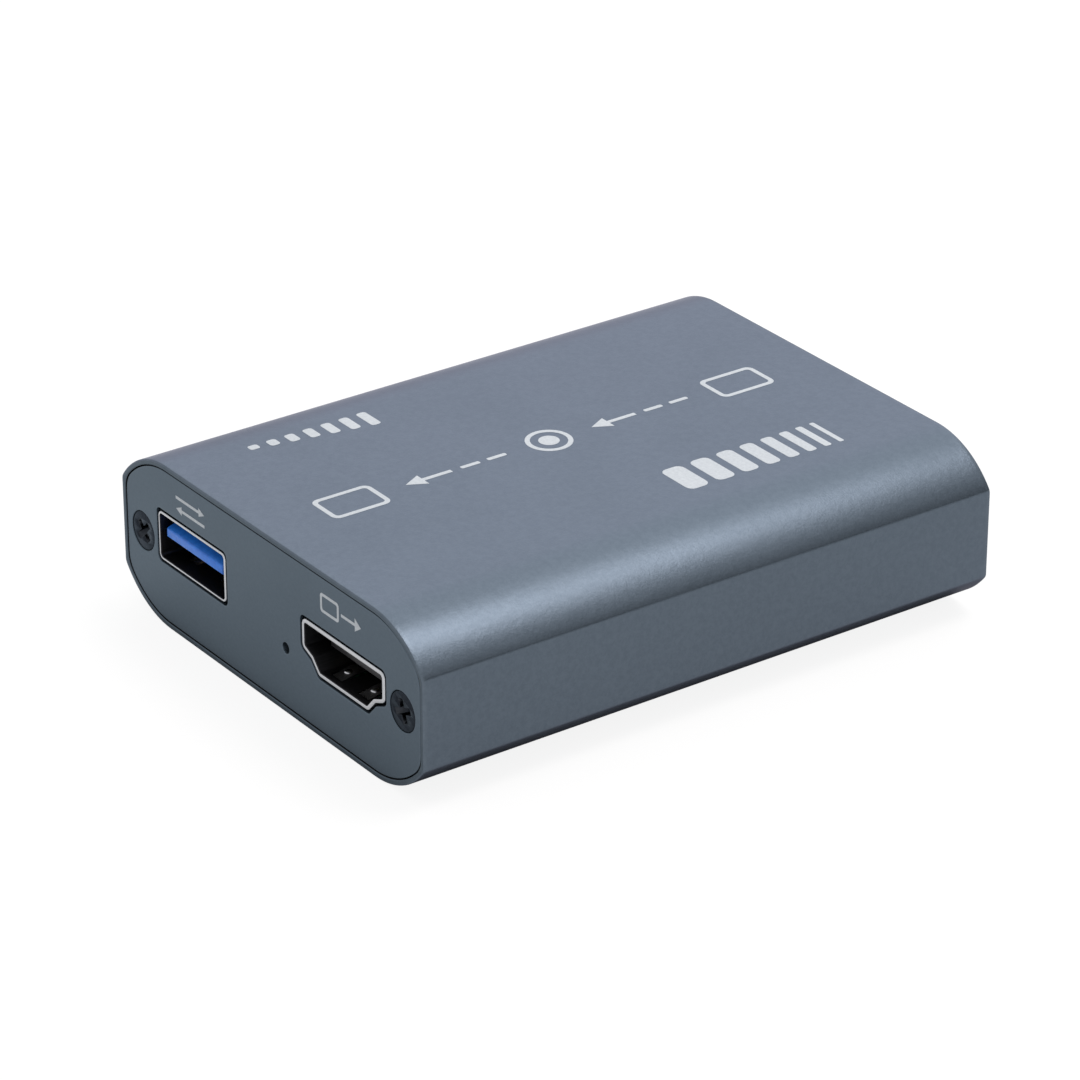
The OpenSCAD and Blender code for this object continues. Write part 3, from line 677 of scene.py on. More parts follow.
class Effects:
    """Shader node groups that several finishes share, each built once."""

    @classmethod
    def group(cls, name: str) -> bpy.types.NodeTree:
        """The node group of that name, built at its first use."""
        made = bpy.data.node_groups.get(name)
        return made or getattr(cls, name)(name)

    @staticmethod
    def opened(
        name: str, inputs: Sequence[str], outputs: Sequence[str]
    ) -> tuple[Bench, dict[str, Output]]:
        """Opens a group.

        Args:
            name: its name.
            inputs: names of its number inputs.
            outputs: names of its number outputs.

        Returns:
            A bench on the group, and its inputs by name, with the coordinates under "Place".
        """
        tree = bpy.data.node_groups.new(name, "ShaderNodeTree")
        for label in inputs:
            tree.interface.new_socket(name=label, in_out="INPUT", socket_type="NodeSocketFloat")
        for label in outputs:
            tree.interface.new_socket(name=label, in_out="OUTPUT", socket_type="NodeSocketFloat")
        bench = Bench(tree)
        given = bench.add("NodeGroupInput").outputs
        place = bench.add("ShaderNodeTexCoord").outputs["Object"]
        return bench, {"Place": place, **{label: given[label] for label in inputs}}

    @staticmethod
    def closed(bench: Bench, **outputs: Output) -> bpy.types.NodeTree:
        """Ends a group with what feeds its outputs, and gives it back."""
        bench.add("NodeGroupOutput", outputs)
        return bench.tree

    @classmethod
    def blasted_grain(cls, name: str) -> bpy.types.NodeTree:
        """Builds the fine round pits of a blasted surface.

        Args:
            name: name of the group.

        Returns:
            The group.
        """
        bench, given = cls.opened(name, ("Scale",), ("Height", "Tone"))
        coarseness, fine_share = 0.31, 0.55
        fine = bench.noise(given["Place"], given["Scale"], roughness=0.62)
        wide = bench.math("MULTIPLY", given["Scale"], coarseness)
        coarse = bench.noise(given["Place"], wide, detail=1.0)
        height = bench.weighed(fine, coarse, fine_share)
        return cls.closed(bench, Height=height, Tone=bench.spread(height, (0.38, 0.62), UNIT))

    @classmethod
    def brushed_lines(cls, name: str) -> bpy.types.NodeTree:
        """Builds the fine drawing lines along the depth of rolled sheet.

        Args:
            name: name of the group.

        Returns:
            The group.
        """
        bench, given = cls.opened(name, ("Scale",), ("Height", "Tone"))
        stretch = (1.0, 0.06, 1.0)
        feeds = {"Vector": given["Place"], "Scale": stretch}
        drawn = bench.add("ShaderNodeMapping", feeds).outputs[0]
        height = bench.noise(drawn, given["Scale"], detail=3.0, roughness=0.55)
        return cls.closed(bench, Height=height, Tone=bench.spread(height, (0.35, 0.65), UNIT))

    @classmethod
    def moulded_skin(cls, name: str) -> bpy.types.NodeTree:
        """Builds the faint orange-peel skin of moulded plastic.

        Args:
            name: name of the group.

        Returns:
            The group.
        """
        bench, given = cls.opened(name, ("Scale",), ("Height", "Tone"))
        coarseness, cell_share = 0.4, 0.5
        feeds = {"Vector": given["Place"], "Scale": given["Scale"], "Smoothness": 0.8}
        cells = bench.add("ShaderNodeTexVoronoi", feeds, feature="SMOOTH_F1").outputs[0]
        flow = bench.noise(given["Place"], bench.math("MULTIPLY", given["Scale"], coarseness))
        height = bench.weighed(cells, flow, cell_share)
        return cls.closed(bench, Height=height, Tone=bench.spread(flow, (0.35, 0.65), UNIT))

    @classmethod
    def handling_smudges(cls, name: str) -> bpy.types.NodeTree:
        """Builds the wide soft patches where hands have touched a surface.

        Args:
            name: name of the group.

        Returns:
            The group.
        """
        bench, given = cls.opened(name, ("Scale",), ("Mask",))
        patches = bench.noise(given["Place"], given["Scale"], detail=3.0, distortion=0.6)
        return cls.closed(bench, Mask=bench.spread(patches, (0.4, 0.68), UNIT))

    @classmethod
    def edge_wear(cls, name: str) -> bpy.types.NodeTree:
        """Builds the worn edges, broken up by a fine noise; on the screws' cross recess the wear
        also serves as a painted glint.

        Args:
            name: name of the group.

        Returns:
            The group.
        """
        bench, given = cls.opened(name, ("Scale", "Amount"), ("Mask",))
        worn = bench.add("ShaderNodeAttribute", attribute_name=WEAR).outputs["Fac"]
        patches, strength = (0.3, 0.6), (0.35, 1.0)
        fine = bench.noise(given["Place"], given["Scale"])
        broken = bench.math("MULTIPLY", worn, bench.spread(fine, patches, strength))
        return cls.closed(bench, Mask=bench.math("MULTIPLY", broken, given["Amount"]))


def node_material(name: str) -> Material:
    """Starts a material.

    Args:
        name: its name.

    Returns:
        The material, with its first nodes in place.
    """
    made = bpy.data.materials.new(name)
    made.use_nodes = True
    return made


@dataclass(frozen=True)
class Finish:
    """A surface with two tones, a grain and a little wear.

    The grain's size and depth are in millimetres.
    """

    name: str
    dark: Colour
    light: Colour
    rough: Flat
    grain: Grain
    grain_size: float
    grain_depth: float
    metallic: float = 0.0
    worn: Colour | None = None
    wear: float = 0.16
    specular: float = 0.5
    edge_tint: Colour = (1.0, 1.0, 1.0)
    coat: float = 0.0

    def material(self) -> Material:
        """Builds the material at its first use.

        Returns:
            The material of this finish.
        """
        made = bpy.data.materials.get(self.name)
        if made:
            return made
        made = node_material(self.name)
        shader = made.node_tree.nodes["Principled BSDF"]
        shader.inputs["Metallic"].default_value = self.metallic
        shader.inputs["Specular IOR Level"].default_value = self.specular
        shader.inputs["Specular Tint"].default_value = (*self.edge_tint, 1.0)
        shader.inputs["Coat Weight"].default_value = self.coat
        self.wire(Bench(made.node_tree), shader)
        return made

    def effect(self, bench: Bench, name: str, values: dict[str, float]) -> bpy.types.Node:
        """A shared effect, placed with this finish's own values."""
        return bench.add("ShaderNodeGroup", values, node_tree=Effects.group(name))

    def colour(self, bench: Bench, tone: Output) -> Output:
        """Mixes the colour over the surface.

        Args:
            bench: the material's bench.
            tone: the grain's tone.

        Returns:
            The output with the colour.
        """
        colour = bench.blend(tone, self.dark, self.light)
        if self.worn:
            wear = self.effect(bench, "edge_wear", {"Scale": WEAR_SCALE, "Amount": self.wear})
            colour = bench.blend(wear.outputs["Mask"], colour, self.worn)
        return colour

    def wire(self, bench: Bench, shader: bpy.types.Node) -> None:
        """Feeds the shader's colour, roughness and normal.

        Args:
            bench: the material's bench.
            shader: its shader.
        """
        links, depth = bench.tree.links, self.grain_depth * MM
        grain = self.effect(bench, self.grain.value, {"Scale": 1.0 / (self.grain_size * MM)})
        smudge = self.effect(bench, "handling_smudges", {"Scale": SMUDGE_SCALE})
        links.new(self.colour(bench, grain.outputs["Tone"]), shader.inputs["Base Color"])
        rough = bench.spread(smudge.outputs["Mask"], UNIT, self.rough)
        links.new(rough, shader.inputs["Roughness"])
        feeds = {"Height": grain.outputs["Height"], "Distance": depth, "Strength": 1.0}
        links.new(bench.add("ShaderNodeBump", feeds).outputs[0], shader.inputs["Normal"])


@dataclass(frozen=True)
class BoardFinish(Finish):
    """Solder mask over copper tracks, whose sizes are in millimetres."""

    track: Colour = (0.035, 0.20, 0.105)
    track_gap: float = 0.16
    track_run: float = 6.1
    track_pitch: float = 0.9
    track_shift: float = 0.37

    def colour(self, bench: Bench, tone: Output) -> Output:
        """Mixes the solder mask, paler where a track runs under it.

        Args:
            bench: the material's bench.
            tone: the grain's tone.

        Returns:
            The output with the colour.
        """
        feeds = {
            "Vector": bench.add("ShaderNodeTexCoord").outputs["Object"],
            "Scale": 1.0,
            "Mortar Size": self.track_gap * MM,
            "Brick Width": self.track_run * MM,
            "Row Height": self.track_pitch * MM,
        }
        tracks = bench.add("ShaderNodeTexBrick", feeds, offset=self.track_shift).outputs["Fac"]
        return bench.blend(tracks, super().colour(bench, tone), self.track)


@dataclass(frozen=True)
class LensFinish(Finish):
    """A clear moulded lens."""

    ior: float = 1.49

    def wire(self, bench: Bench, shader: bpy.types.Node) -> None:
        """Makes the shader clear before it feeds it.

        Args:
            bench: the material's bench.
            shader: its shader.
        """
        shader.inputs["Transmission Weight"].default_value = 1.0
        shader.inputs["IOR"].default_value = self.ior
        super().wire(bench, shader)


class Finishes:
    """Every finish of the box, in linear colours."""

    SLEEVE = Finish(
        "sleeve_satin",
        dark=(0.085, 0.107, 0.133), light=(0.096, 0.120, 0.148), rough=(0.35, 0.38),
        grain=Grain.BLASTED, grain_size=0.22, grain_depth=0.024,
        metallic=1.0, worn=(0.15, 0.18, 0.21), edge_tint=(0.78, 0.77, 0.87),
    )
    PLATE = Finish(
        "plate_satin",
        dark=(0.079, 0.102, 0.127), light=(0.087, 0.112, 0.139), rough=(0.40, 0.44),
        grain=Grain.BLASTED, grain_size=0.12, grain_depth=0.003,
        metallic=1.0, worn=(0.14, 0.17, 0.20), edge_tint=(0.80, 0.85, 0.87),
    )
    SAWN = Finish(
        "sawn_end_satin",
        dark=(0.060, 0.077, 0.096), light=(0.066, 0.085, 0.106), rough=(0.40, 0.46),
        grain=Grain.BLASTED, grain_size=0.12, grain_depth=0.003,
        metallic=1.0, worn=(0.14, 0.17, 0.20), edge_tint=(0.80, 0.85, 0.87),
    )
    # The walls inside the gap between plate and lip: painted near black as the shade in the gap.
    SEAM_PAINTED_SHADE = Finish(
        "seam_blackened",
        dark=(0.010, 0.011, 0.013), light=(0.016, 0.018, 0.021), rough=(0.60, 0.70),
        grain=Grain.BLASTED, grain_size=0.12, grain_depth=0.002,
        specular=0.2,
    )
    # The lighter worn rim of the cross recess is partly driver wear and partly a painted glint.
    SCREW = Finish(
        "screw_black_oxide",
        dark=(0.010, 0.012, 0.016), light=(0.017, 0.020, 0.026), rough=(0.26, 0.36),
        grain=Grain.MOULDED, grain_size=0.12, grain_depth=0.005,
        metallic=1.0, worn=(0.30, 0.31, 0.33), wear=0.08, edge_tint=(0.7, 0.75, 0.8),
    )
    NICKEL = Finish(
        "nickel_plate",
        dark=(0.40, 0.41, 0.43), light=(0.50, 0.51, 0.53), rough=(0.22, 0.30),
        grain=Grain.BRUSHED, grain_size=0.09, grain_depth=0.0015,
        metallic=1.0,
    )
    # The inside of the shells: the same nickel, painted nearly black as the shade in the socket's
    # hollow.
    NICKEL_PAINTED_SHADE = Finish(
        "nickel_dulled",
        dark=(0.030, 0.030, 0.033), light=(0.042, 0.042, 0.046), rough=(0.36, 0.46),
        grain=Grain.BRUSHED, grain_size=0.09, grain_depth=0.0015,
        metallic=1.0, edge_tint=(0.3, 0.3, 0.32),
    )
    # The spring fingers: the same nickel, painted darker as the shade inside the socket.
    SPRING_PAINTED_SHADE = Finish(
        "spring_nickel",
        dark=(0.11, 0.11, 0.115), light=(0.16, 0.16, 0.165), rough=(0.34, 0.44),
        grain=Grain.BRUSHED, grain_size=0.09, grain_depth=0.0015,
        metallic=1.0,
    )
    TIN = Finish(
        "tinned_leads_satin",
        dark=(0.48, 0.48, 0.47), light=(0.62, 0.62, 0.60), rough=(0.30, 0.42),
        grain=Grain.BLASTED, grain_size=0.08, grain_depth=0.002,
        metallic=1.0,
    )
    GOLD = Finish(
        "gold_flash",
        dark=(0.70, 0.46, 0.13), light=(0.83, 0.57, 0.20), rough=(0.20, 0.30),
        grain=Grain.BRUSHED, grain_size=0.07, grain_depth=0.001,
        metallic=1.0,
    )
    TONGUE = Finish(
        "tongue_blue",
        dark=(0.012, 0.155, 0.66), light=(0.018, 0.200, 0.78), rough=(0.40, 0.50),
        grain=Grain.MOULDED, grain_size=0.25, grain_depth=0.003,
    )
    INSULATOR = Finish(
        "insulator_black",
        dark=(0.012, 0.012, 0.014), light=(0.022, 0.022, 0.025), rough=(0.42, 0.52),
        grain=Grain.MOULDED, grain_size=0.22, grain_depth=0.003,
    )
    BOARD = BoardFinish(
        "board_solder_mask",
        dark=(0.010, 0.095, 0.045), light=(0.016, 0.125, 0.062), rough=(0.26, 0.38),
        grain=Grain.MOULDED, grain_size=0.30, grain_depth=0.004,
        coat=0.3,
    )
    PACKAGE = Finish(
        "chip_epoxy",
        dark=(0.016, 0.016, 0.018), light=(0.030, 0.030, 0.032), rough=(0.50, 0.62),
        grain=Grain.BLASTED, grain_size=0.10, grain_depth=0.004,
    )
    TAPE = Finish(
        "thermal_tape_matt",
        dark=(0.30, 0.34, 0.38), light=(0.40, 0.44, 0.48), rough=(0.72, 0.85),
        grain=Grain.BLASTED, grain_size=0.20, grain_depth=0.006,
    )
    SINK = Finish(
        "heat_sink_black",
        dark=(0.016, 0.017, 0.019), light=(0.030, 0.032, 0.035), rough=(0.38, 0.50),
        grain=Grain.BRUSHED, grain_size=0.16, grain_depth=0.006,
        metallic=0.7,
    )
    FERRITE = Finish(
        "ferrite_grey",
        dark=(0.040, 0.040, 0.043), light=(0.068, 0.068, 0.072), rough=(0.55, 0.68),
        grain=Grain.BLASTED, grain_size=0.12, grain_depth=0.006,
    )
    CAN = Finish(
        "capacitor_can_satin",
        dark=(0.58, 0.58, 0.60), light=(0.70, 0.70, 0.72), rough=(0.26, 0.36),
        grain=Grain.BRUSHED, grain_size=0.12, grain_depth=0.002,
        metallic=1.0,
    )
    FUSE = Finish(
        "fuse_green",
        dark=(0.018, 0.085, 0.032), light=(0.030, 0.115, 0.046), rough=(0.40, 0.52),
        grain=Grain.MOULDED, grain_size=0.20, grain_depth=0.003,
    )
    CERAMIC = Finish(
        "ceramic_tan",
        dark=(0.33, 0.21, 0.105), light=(0.43, 0.28, 0.15), rough=(0.34, 0.46),
        grain=Grain.BLASTED, grain_size=0.10, grain_depth=0.003,
    )
    LIGHT_BODY = Finish(
        "light_body_white",
        dark=(0.66, 0.66, 0.62), light=(0.78, 0.78, 0.74), rough=(0.40, 0.52),
        grain=Grain.MOULDED, grain_size=0.20, grain_depth=0.003,
    )
    LENS = LensFinish(
        "light_lens_clear",
        dark=(0.62, 0.72, 0.80), light=(0.74, 0.82, 0.90), rough=(0.06, 0.14),
        grain=Grain.MOULDED, grain_size=0.30, grain_depth=0.002,
    )
    INK = Finish(
        "ink_pale_grey",
        dark=(0.47, 0.51, 0.55), light=(0.55, 0.59, 0.63), rough=(0.48, 0.60),
        grain=Grain.BLASTED, grain_size=0.10, grain_depth=0.004,
    )


# Handing pieces over to the frame

BODIES = {
    node: body
    for body, nodes in frame["record"]["behaviour"]["bodies"].items()
    for node in nodes
}


def present(name: str, mesh: Mesh, node: str | None = None) -> None:
    """Puts a finished piece in the scene.

    Args:
        name: name of the piece.
        mesh: its mesh, in place.
        node: the solid that it stands for, or None where it is added to the box.
    """
    piece = linked(name, mesh)
    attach(piece, BODIES.get(node, ROOT_BODY))
    if node:
        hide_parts(node)
    log.info("%s: %d faces", name, len(mesh.polygons))


def dress(node: str, finish: Finish) -> None:
    """Gives a solid that is shown as it is its finish."""
    frame["nodes"][node].material_slots[0].material = finish.material()
    log.info("%s: kept and dressed", node)


@dataclass(frozen=True)
class Cut:
    """A rounding of some outer edges of a solid.

    It takes the edges whose middle, in millimetres, passes the test, or all where there is none.
    """

    width: float
    test: Callable[[Vector], bool] | None = None
    segments: int = 3

    def takes(self, edge: bmesh.types.BMEdge) -> bool:
        """Whether this cut rounds an edge.

        Args:
            edge: an edge of the solid.

        Returns:
            True for an outer edge that is sharp enough and passes the test.
        """
        if edge.calc_face_angle_signed(0.0) <= ROUND_LIMIT:
            return False
        return self.test is None or self.test((edge.verts[0].co + edge.verts[1].co) / (2 * MM))

    def apply(self, solid: bmesh.types.BMesh) -> None:
        """Rounds the edges that this cut takes.

        Args:
            solid: what is cut.
        """
        made = bmesh.ops.bevel(
            solid,
            geom=[edge for edge in solid.edges if self.takes(edge)],
            offset=self.width * MM,
            offset_type="OFFSET",
            segments=self.segments,
            profile=0.5,
            affect="EDGES",
            clamp_overlap=True,
        )
        for face in made["faces"]:
            face.smooth = True


FINE_EDGES = Cut(0.03, segments=2)


@dataclass(frozen=True)
class Slice:
    """A slanted cut that takes away what lies beyond a plane, whose point is in millimetres."""

    point: Vector
    normal: Vector

    def apply(self, solid: bmesh.types.BMesh) -> None:
        """Cuts the solid and closes it again.

        Args:
            solid: what is cut.
        """
        everything = [*solid.verts, *solid.edges, *solid.faces]
        cut = bmesh.ops.bisect_plane(
            solid, geom=everything, plane_co=self.point * MM, plane_no=self.normal, clear_outer=True
        )
        rim = [part for part in cut["geom_cut"] if isinstance(part, bmesh.types.BMEdge)]
        bmesh.ops.holes_fill(solid, edges=rim)


@dataclass(frozen=True)
class Lining:
    """A second finish on the faces whose middle, in millimetres, and normal pass a test."""

    finish: Finish
    test: Callable[[Vector, Vector], bool]


def softened(node: str, finish: Finish, *cuts: Cut | Slice, lining: Lining | None = None) -> None:
    """Shows a copy of a solid with its outer edges rounded.

    Args:
        node: the solid.
        finish: its finish.
        cuts: which edges are rounded and how far, and what is cut off.
        lining: a second finish on part of it.
    """
    flat, bent = math.radians(1.0), math.radians(30.0)
    copy = bmesh.new()
    copy.from_mesh(frame["nodes"][node].data)
    bmesh.ops.remove_doubles(copy, verts=copy.verts, dist=SOLID_MERGE)
    bmesh.ops.dissolve_limit(copy, angle_limit=flat / 3, verts=copy.verts, edges=copy.edges)
    for face in copy.faces:
        face.smooth = any(flat < edge.calc_face_angle(0.0) < bent for edge in face.edges)
    for cut in cuts:
        cut.apply(copy)
    if lining:
        for face in copy.faces:
            face.material_index = int(lining.test(face.calc_center_median() / MM, face.normal))
    mesh = bpy.data.meshes.new(node)
    copy.to_mesh(mesh)
    copy.free()
    mesh.set_sharp_from_angle(angle=SMOOTH_LIMIT)
    for used in (finish, lining.finish) if lining else (finish,):
        mesh.materials.append(used.material())
    present(f"{node}_finished", mesh, node)


# Sub-assemblies


@dataclass
class Sleeve:
    """The extruded sleeve, with its board grooves and screw channels."""

    width: float = 57.0
    height: float = 19.4
    depth: float = 73.0
    corner_run: float = 9.0
    corner_drop: float = 4.6
    wall: float = 1.25
    lip: float = 0.6
    ledge: float = 34.9
    rim: float = 0.16
    run_out: float = 0.45
    lip_edge: float = 0.08
    lip_wear: Flat = (0.4, 0.7)
    crease: float = 0.25
    crease_growth: float = 1.3
    crease_steps: int = 4
    arc_steps: int = 18
    arc_share: float = 1.1
    length_steps: int = 8
    screw_x: float = 24.6
    channel_radius: float = 2.3
    channel_steps: int = 12
    bore_radius: float = 1.25
    bore_steps: int = 24
    web_share: float = 0.5
    slit: float = 1.0
    rib_x: float = 25.745
    ribs: tuple[Flat, ...] = ((4.08, 4.88), (6.72, 7.52))

    @property
    def corner_radius(self) -> float:
        """Radius of the arcs, which are tangent to the top and the bottom."""
        return (self.corner_run**2 + self.corner_drop**2) / (2 * self.corner_drop)

    @property
    def corner_x(self) -> float:
        """Where the arcs begin along the width."""
        return self.width / 2 - self.corner_run

    def quarter(self, inset: float) -> list[Flat]:
        """The upper right quarter of the section.

        Args:
            inset: how far the section is drawn in; the crease is softer further in.

        Returns:
            Points from the upright side, over its softened crease and the arc, to the top.
        """
        radius, crease = self.corner_radius - inset, self.crease + self.crease_growth * inset
        centre = (self.corner_x, self.height - self.corner_radius)
        side = self.width / 2 - inset
        stop = math.acos((side - centre[0]) / radius)
        corner = Vector((side, centre[1] + radius * math.sin(stop)))
        below = corner - Vector((0.0, crease))
        turned = stop + crease / radius
        above = Vector(arc(centre, radius, turned, turned, 1)[0])
        points = []
        for i in range(self.crease_steps):
            t = i / self.crease_steps
            points.append(tuple(below * (1 - t) ** 2 + corner * 2 * t * (1 - t) + above * t**2))
        return points + arc(centre, radius, turned, math.pi / 2, self.arc_steps)

    def section(self, inset: float) -> list[Flat]:
        """The closed section of the sleeve.

        Args:
            inset: how far it is drawn in.

        Returns:
            Its points, counter-clockwise.
        """
        upper = self.quarter(inset)
        right = [(x, self.height - z) for x, z in reversed(upper)] + upper
        return right + [(-x, z) for x, z in reversed(right)]

    def loop(self, draft: Draft, inset: float, depth: float, wear: float = 0.0) -> Loop:
        """A loop of the section in a drawing, drawn in by an inset, at a depth."""
        return draft.ring(upright(self.section(inset), depth), wear)

    def half_width(self, z: float) -> float:
        """Half the width of the hollow.

        Args:
            z: the height where it is taken.

        Returns:
            The distance from the middle to the wall.
        """
        away = max(0.0, self.corner_radius - z, z - self.height + self.corner_radius)
        reach = math.sqrt((self.corner_radius - self.wall) ** 2 - away**2)
        return min(self.width / 2 - self.wall, self.corner_x + reach)

    def channel(self) -> list[Flat]:
        """The outline of the right screw channel.

        Returns:
            Points from the web's lower edge, round the slit bore, to its upper edge.
        """
        middle = (self.screw_x, self.height / 2)
        web = math.asin(self.web_share)
        outer = math.asin(self.slit / 2 / self.channel_radius)
        inner = math.asin(self.slit / 2 / self.bore_radius)
        radius, steps = self.channel_radius, self.channel_steps
        lower = arc(middle, radius, -web, outer - math.pi, steps)
        bore = arc(middle, self.bore_radius, inner - math.pi, math.pi - inner, self.bore_steps)
        return lower + bore + arc(middle, radius, math.pi - outer, web, steps)

    def hollow(self) -> list[Flat]:
        """The closed section of the hollow, round its ribs and screw channels.

        Returns:
            Its points, counter-clockwise.
        """
        points = [(self.corner_x, self.wall)]
        foot, levels = self.ribs[0][0], self.arc_steps
        for i in range(1, levels):
            drop = (1 - math.cos(math.pi / 2 * i / levels)) * (foot - self.wall)
            points.append((self.half_width(self.wall + drop), self.wall + drop))
        for low, high in self.ribs:
            points += [(self.half_width(low), low), (self.rib_x, low)]
            points += [(self.rib_x, high), (self.half_width(high), high)]
        middle, half_web = self.height / 2, self.channel_radius * self.web_share
        points.append((self.half_width(middle), middle - half_web))
        points += self.channel()
        points.append((self.half_width(middle), middle + half_web))
        top, reach = self.height - self.wall, self.corner_drop * self.arc_share
        for i in range(levels):
            drop = (1 - math.cos(math.pi / 2 * (levels - i) / levels)) * reach
            points.append((self.half_width(top - drop), top - drop))
        points.append((self.corner_x, top))
        return points + [(-x, z) for x, z in reversed(points)]

    def end_loops(self, draft: Draft, end: End) -> tuple[list[Loop], list[Loop]]:
        """Draws the loops of one end.

        Args:
            draft: drawing that takes them.
            end: which end.

        Returns:
            The loops from the ledge out over the lip's inner edge, and those over its outer rim.
        """
        side, far = end.value, self.depth / 2
        edge_wear, face_wear = self.lip_wear
        inner = [
            self.loop(draft, self.lip, side * self.ledge),
            self.loop(draft, self.lip, side * (far - self.lip_edge), edge_wear),
            self.loop(draft, self.lip - self.lip_edge, side * far, face_wear),
        ]
        outer = [
            self.loop(draft, inset, side * (far - back), 1.0)
            for inset, back in round_over(self.rim)
        ]
        outer.append(self.loop(draft, 0.0, side * (far - self.rim - self.run_out)))
        return inner, outer

    def build(self) -> None:
        """Builds and dresses the sleeve."""
        draft = Draft(Finishes.SLEEVE, Finishes.SAWN, Finishes.SEAM_PAINTED_SHADE)
        ends = []
        for end in End:
            inner, outer = self.end_loops(draft, end)
            # The lip's inner wall, in the gap, is painted dark as shade.
            draft.use(Finishes.SEAM_PAINTED_SHADE)
            draft.stack(inner[:2])
            draft.use(Finishes.SAWN)
            draft.stack(inner[1:])
            draft.bridge(inner[-1], outer[0], smooth=False)
            draft.use(Finishes.SLEEVE)
            draft.stack(outer)
            hollow = draft.ring(upright(self.hollow(), end.value * self.ledge))
            draft.fill(inner[0], [hollow])
            ends.append((outer[-1], hollow))
        (front, front_hollow), (rear, rear_hollow) = ends
        first, last = front[0].co.y, rear[0].co.y
        between = []
        for i in range(1, self.length_steps):
            y = first + (last - first) * i / self.length_steps
            between.append(self.loop(draft, 0.0, y))
        draft.stack([front, *between, rear])
        draft.bridge(front_hollow, rear_hollow)
        present("sleeve_finished", draft.mesh("sleeve"), "sleeve")


@dataclass
class VideoShape:
    """The stepped outline of a video socket."""

    width: float = 15.1
    height: float = 5.6
    foot: float = 9.0
    step_width: float = 11.6
    step_height: float = 1.45
    side_height: float = 2.2
    radius: float = 0.8

    def outline(self, grown: float) -> list[Flat]:
        """The rounded outline over the socket's underside.

        Args:
            grown: how far it is grown on all sides.

        Returns:
            Its points, counter-clockwise.
        """
        right = [
            (self.foot / 2, 0.0),
            (self.step_width / 2, self.step_height),
            (self.width / 2, self.side_height),
            (self.width / 2, self.height),
        ]
        corners = right + [(-x, z) for x, z in reversed(right)]
        return rounded(drawn_in(corners, -grown), self.radius)


@dataclass
class EndPlate:
    """A plate let into one end of the sleeve, with its openings."""

    end: End
    sleeve: Sleeve
    face: float = 36.4
    thickness: float = 1.5
    gap: float = 0.15
    edge: float = 0.07
    hole_edge: float = 0.07
    hole_bevel: float = 0.3
    hole_wear: float = 0.8
    worn_band: float = 0.2
    socket_gap: float = 0.3
    video_foot: Flat = (13.9, 7.0)
    data_middle: Flat = (-14.8, 10.7)
    data_size: Flat = (13.2, 5.75)
    data_radius: float = 0.7
    light_middle: Flat = (3.25, 7.6)
    light_radius: float = 0.625
    light_steps: int = 32
    head_radius: float = 2.25
    head_depth: float = 0.23
    shaft_radius: float = 1.3
    screw_steps: int = 48

    def video_hole(self, grown: float) -> list[Flat]:
        """The video socket's opening, grown on all sides."""
        return moved(VideoShape().outline(self.socket_gap + grown), self.video_foot)

    def data_hole(self, grown: float) -> list[Flat]:
        """The data socket's opening, grown on all sides."""
        size = [length + 2 * (self.socket_gap + grown) for length in self.data_size]
        return moved(rounded(rectangle(*size), self.data_radius + grown), self.data_middle)

    def light_hole(self, grown: float) -> list[Flat]:
        """The status light's pinhole, grown on all sides."""
        return circle(self.light_middle, self.light_radius + grown, self.light_steps)

    def depth(self, below: float) -> float:
        """Place along the depth of what lies below the plate's face."""
        return self.end.value * (self.face - below)

    def straight_hole(self, draft: Draft, shape: Callable[[float], list[Flat]]) -> list[Loop]:
        """Draws the loops of a straight opening.

        Args:
            draft: drawing that takes them.
            shape: the opening's outline for a growth.

        Returns:
            The loops from the band round its edge to the plate's back.
        """
        edge, bevel = self.hole_edge, self.hole_edge * self.hole_bevel
        steps = (
            (edge + self.worn_band, 0.0, 0.0),
            (edge, 0.0, self.hole_wear),
            (bevel, bevel, self.hole_wear),
            (0.0, edge, 0.0),
            (0.0, self.thickness, 0.0),
        )
        return [
            draft.ring(upright(shape(grown), self.depth(below)), wear)
            for grown, below, wear in steps
        ]

    def countersink(self, draft: Draft, x: float) -> list[Loop]:
        """Draws the loops of a screw's hole.

        Args:
            draft: drawing that takes them.
            x: place of the screw along the width.

        Returns:
            The loops from the plate's face to its back.
        """
        middle = (x, self.sleeve.height / 2)
        profile = (
            (self.head_radius + self.hole_edge, 0.0),
            (self.head_radius, self.hole_edge),
            (self.head_radius, self.head_depth),
            (self.shaft_radius, self.head_depth + self.head_radius - self.shaft_radius),
            (self.shaft_radius, self.thickness),
        )
        return [
            draft.ring(upright(circle(middle, radius, self.screw_steps), self.depth(below)))
            for radius, below in profile
        ]

    def build(self) -> None:
        """Builds and dresses the plate."""
        draft, sleeve = Draft(Finishes.PLATE, Finishes.SEAM_PAINTED_SHADE), self.sleeve
        inset = sleeve.lip + self.gap
        outer = [sleeve.loop(draft, inset + self.edge + self.worn_band, self.depth(0.0))]
        for more, down in round_over(self.edge):
            outer.append(sleeve.loop(draft, inset + more, self.depth(down), 1.0))
        outer.append(sleeve.loop(draft, inset, self.depth(self.thickness)))
        shapes = [self.video_hole]
        if self.end is End.FRONT:
            shapes += [self.data_hole, self.light_hole]
        openings = [self.straight_hole(draft, shape) for shape in shapes]
        openings += [self.countersink(draft, x) for x in (-sleeve.screw_x, sleeve.screw_x)]
        for loops in (outer[:-1], *openings):
            draft.stack(loops)
        # The plate's edge wall, in the gap, is painted dark as shade.
        draft.use(Finishes.SEAM_PAINTED_SHADE)
        draft.stack(outer[-2:])
        draft.use(Finishes.PLATE)
        draft.fill(outer[0], [loops[0] for loops in openings])
        draft.fill(outer[-1], [loops[-1] for loops in openings])
        node = f"{self.end.name.lower()}_plate"
        present(f"{node}_finished", draft.mesh(node), node)


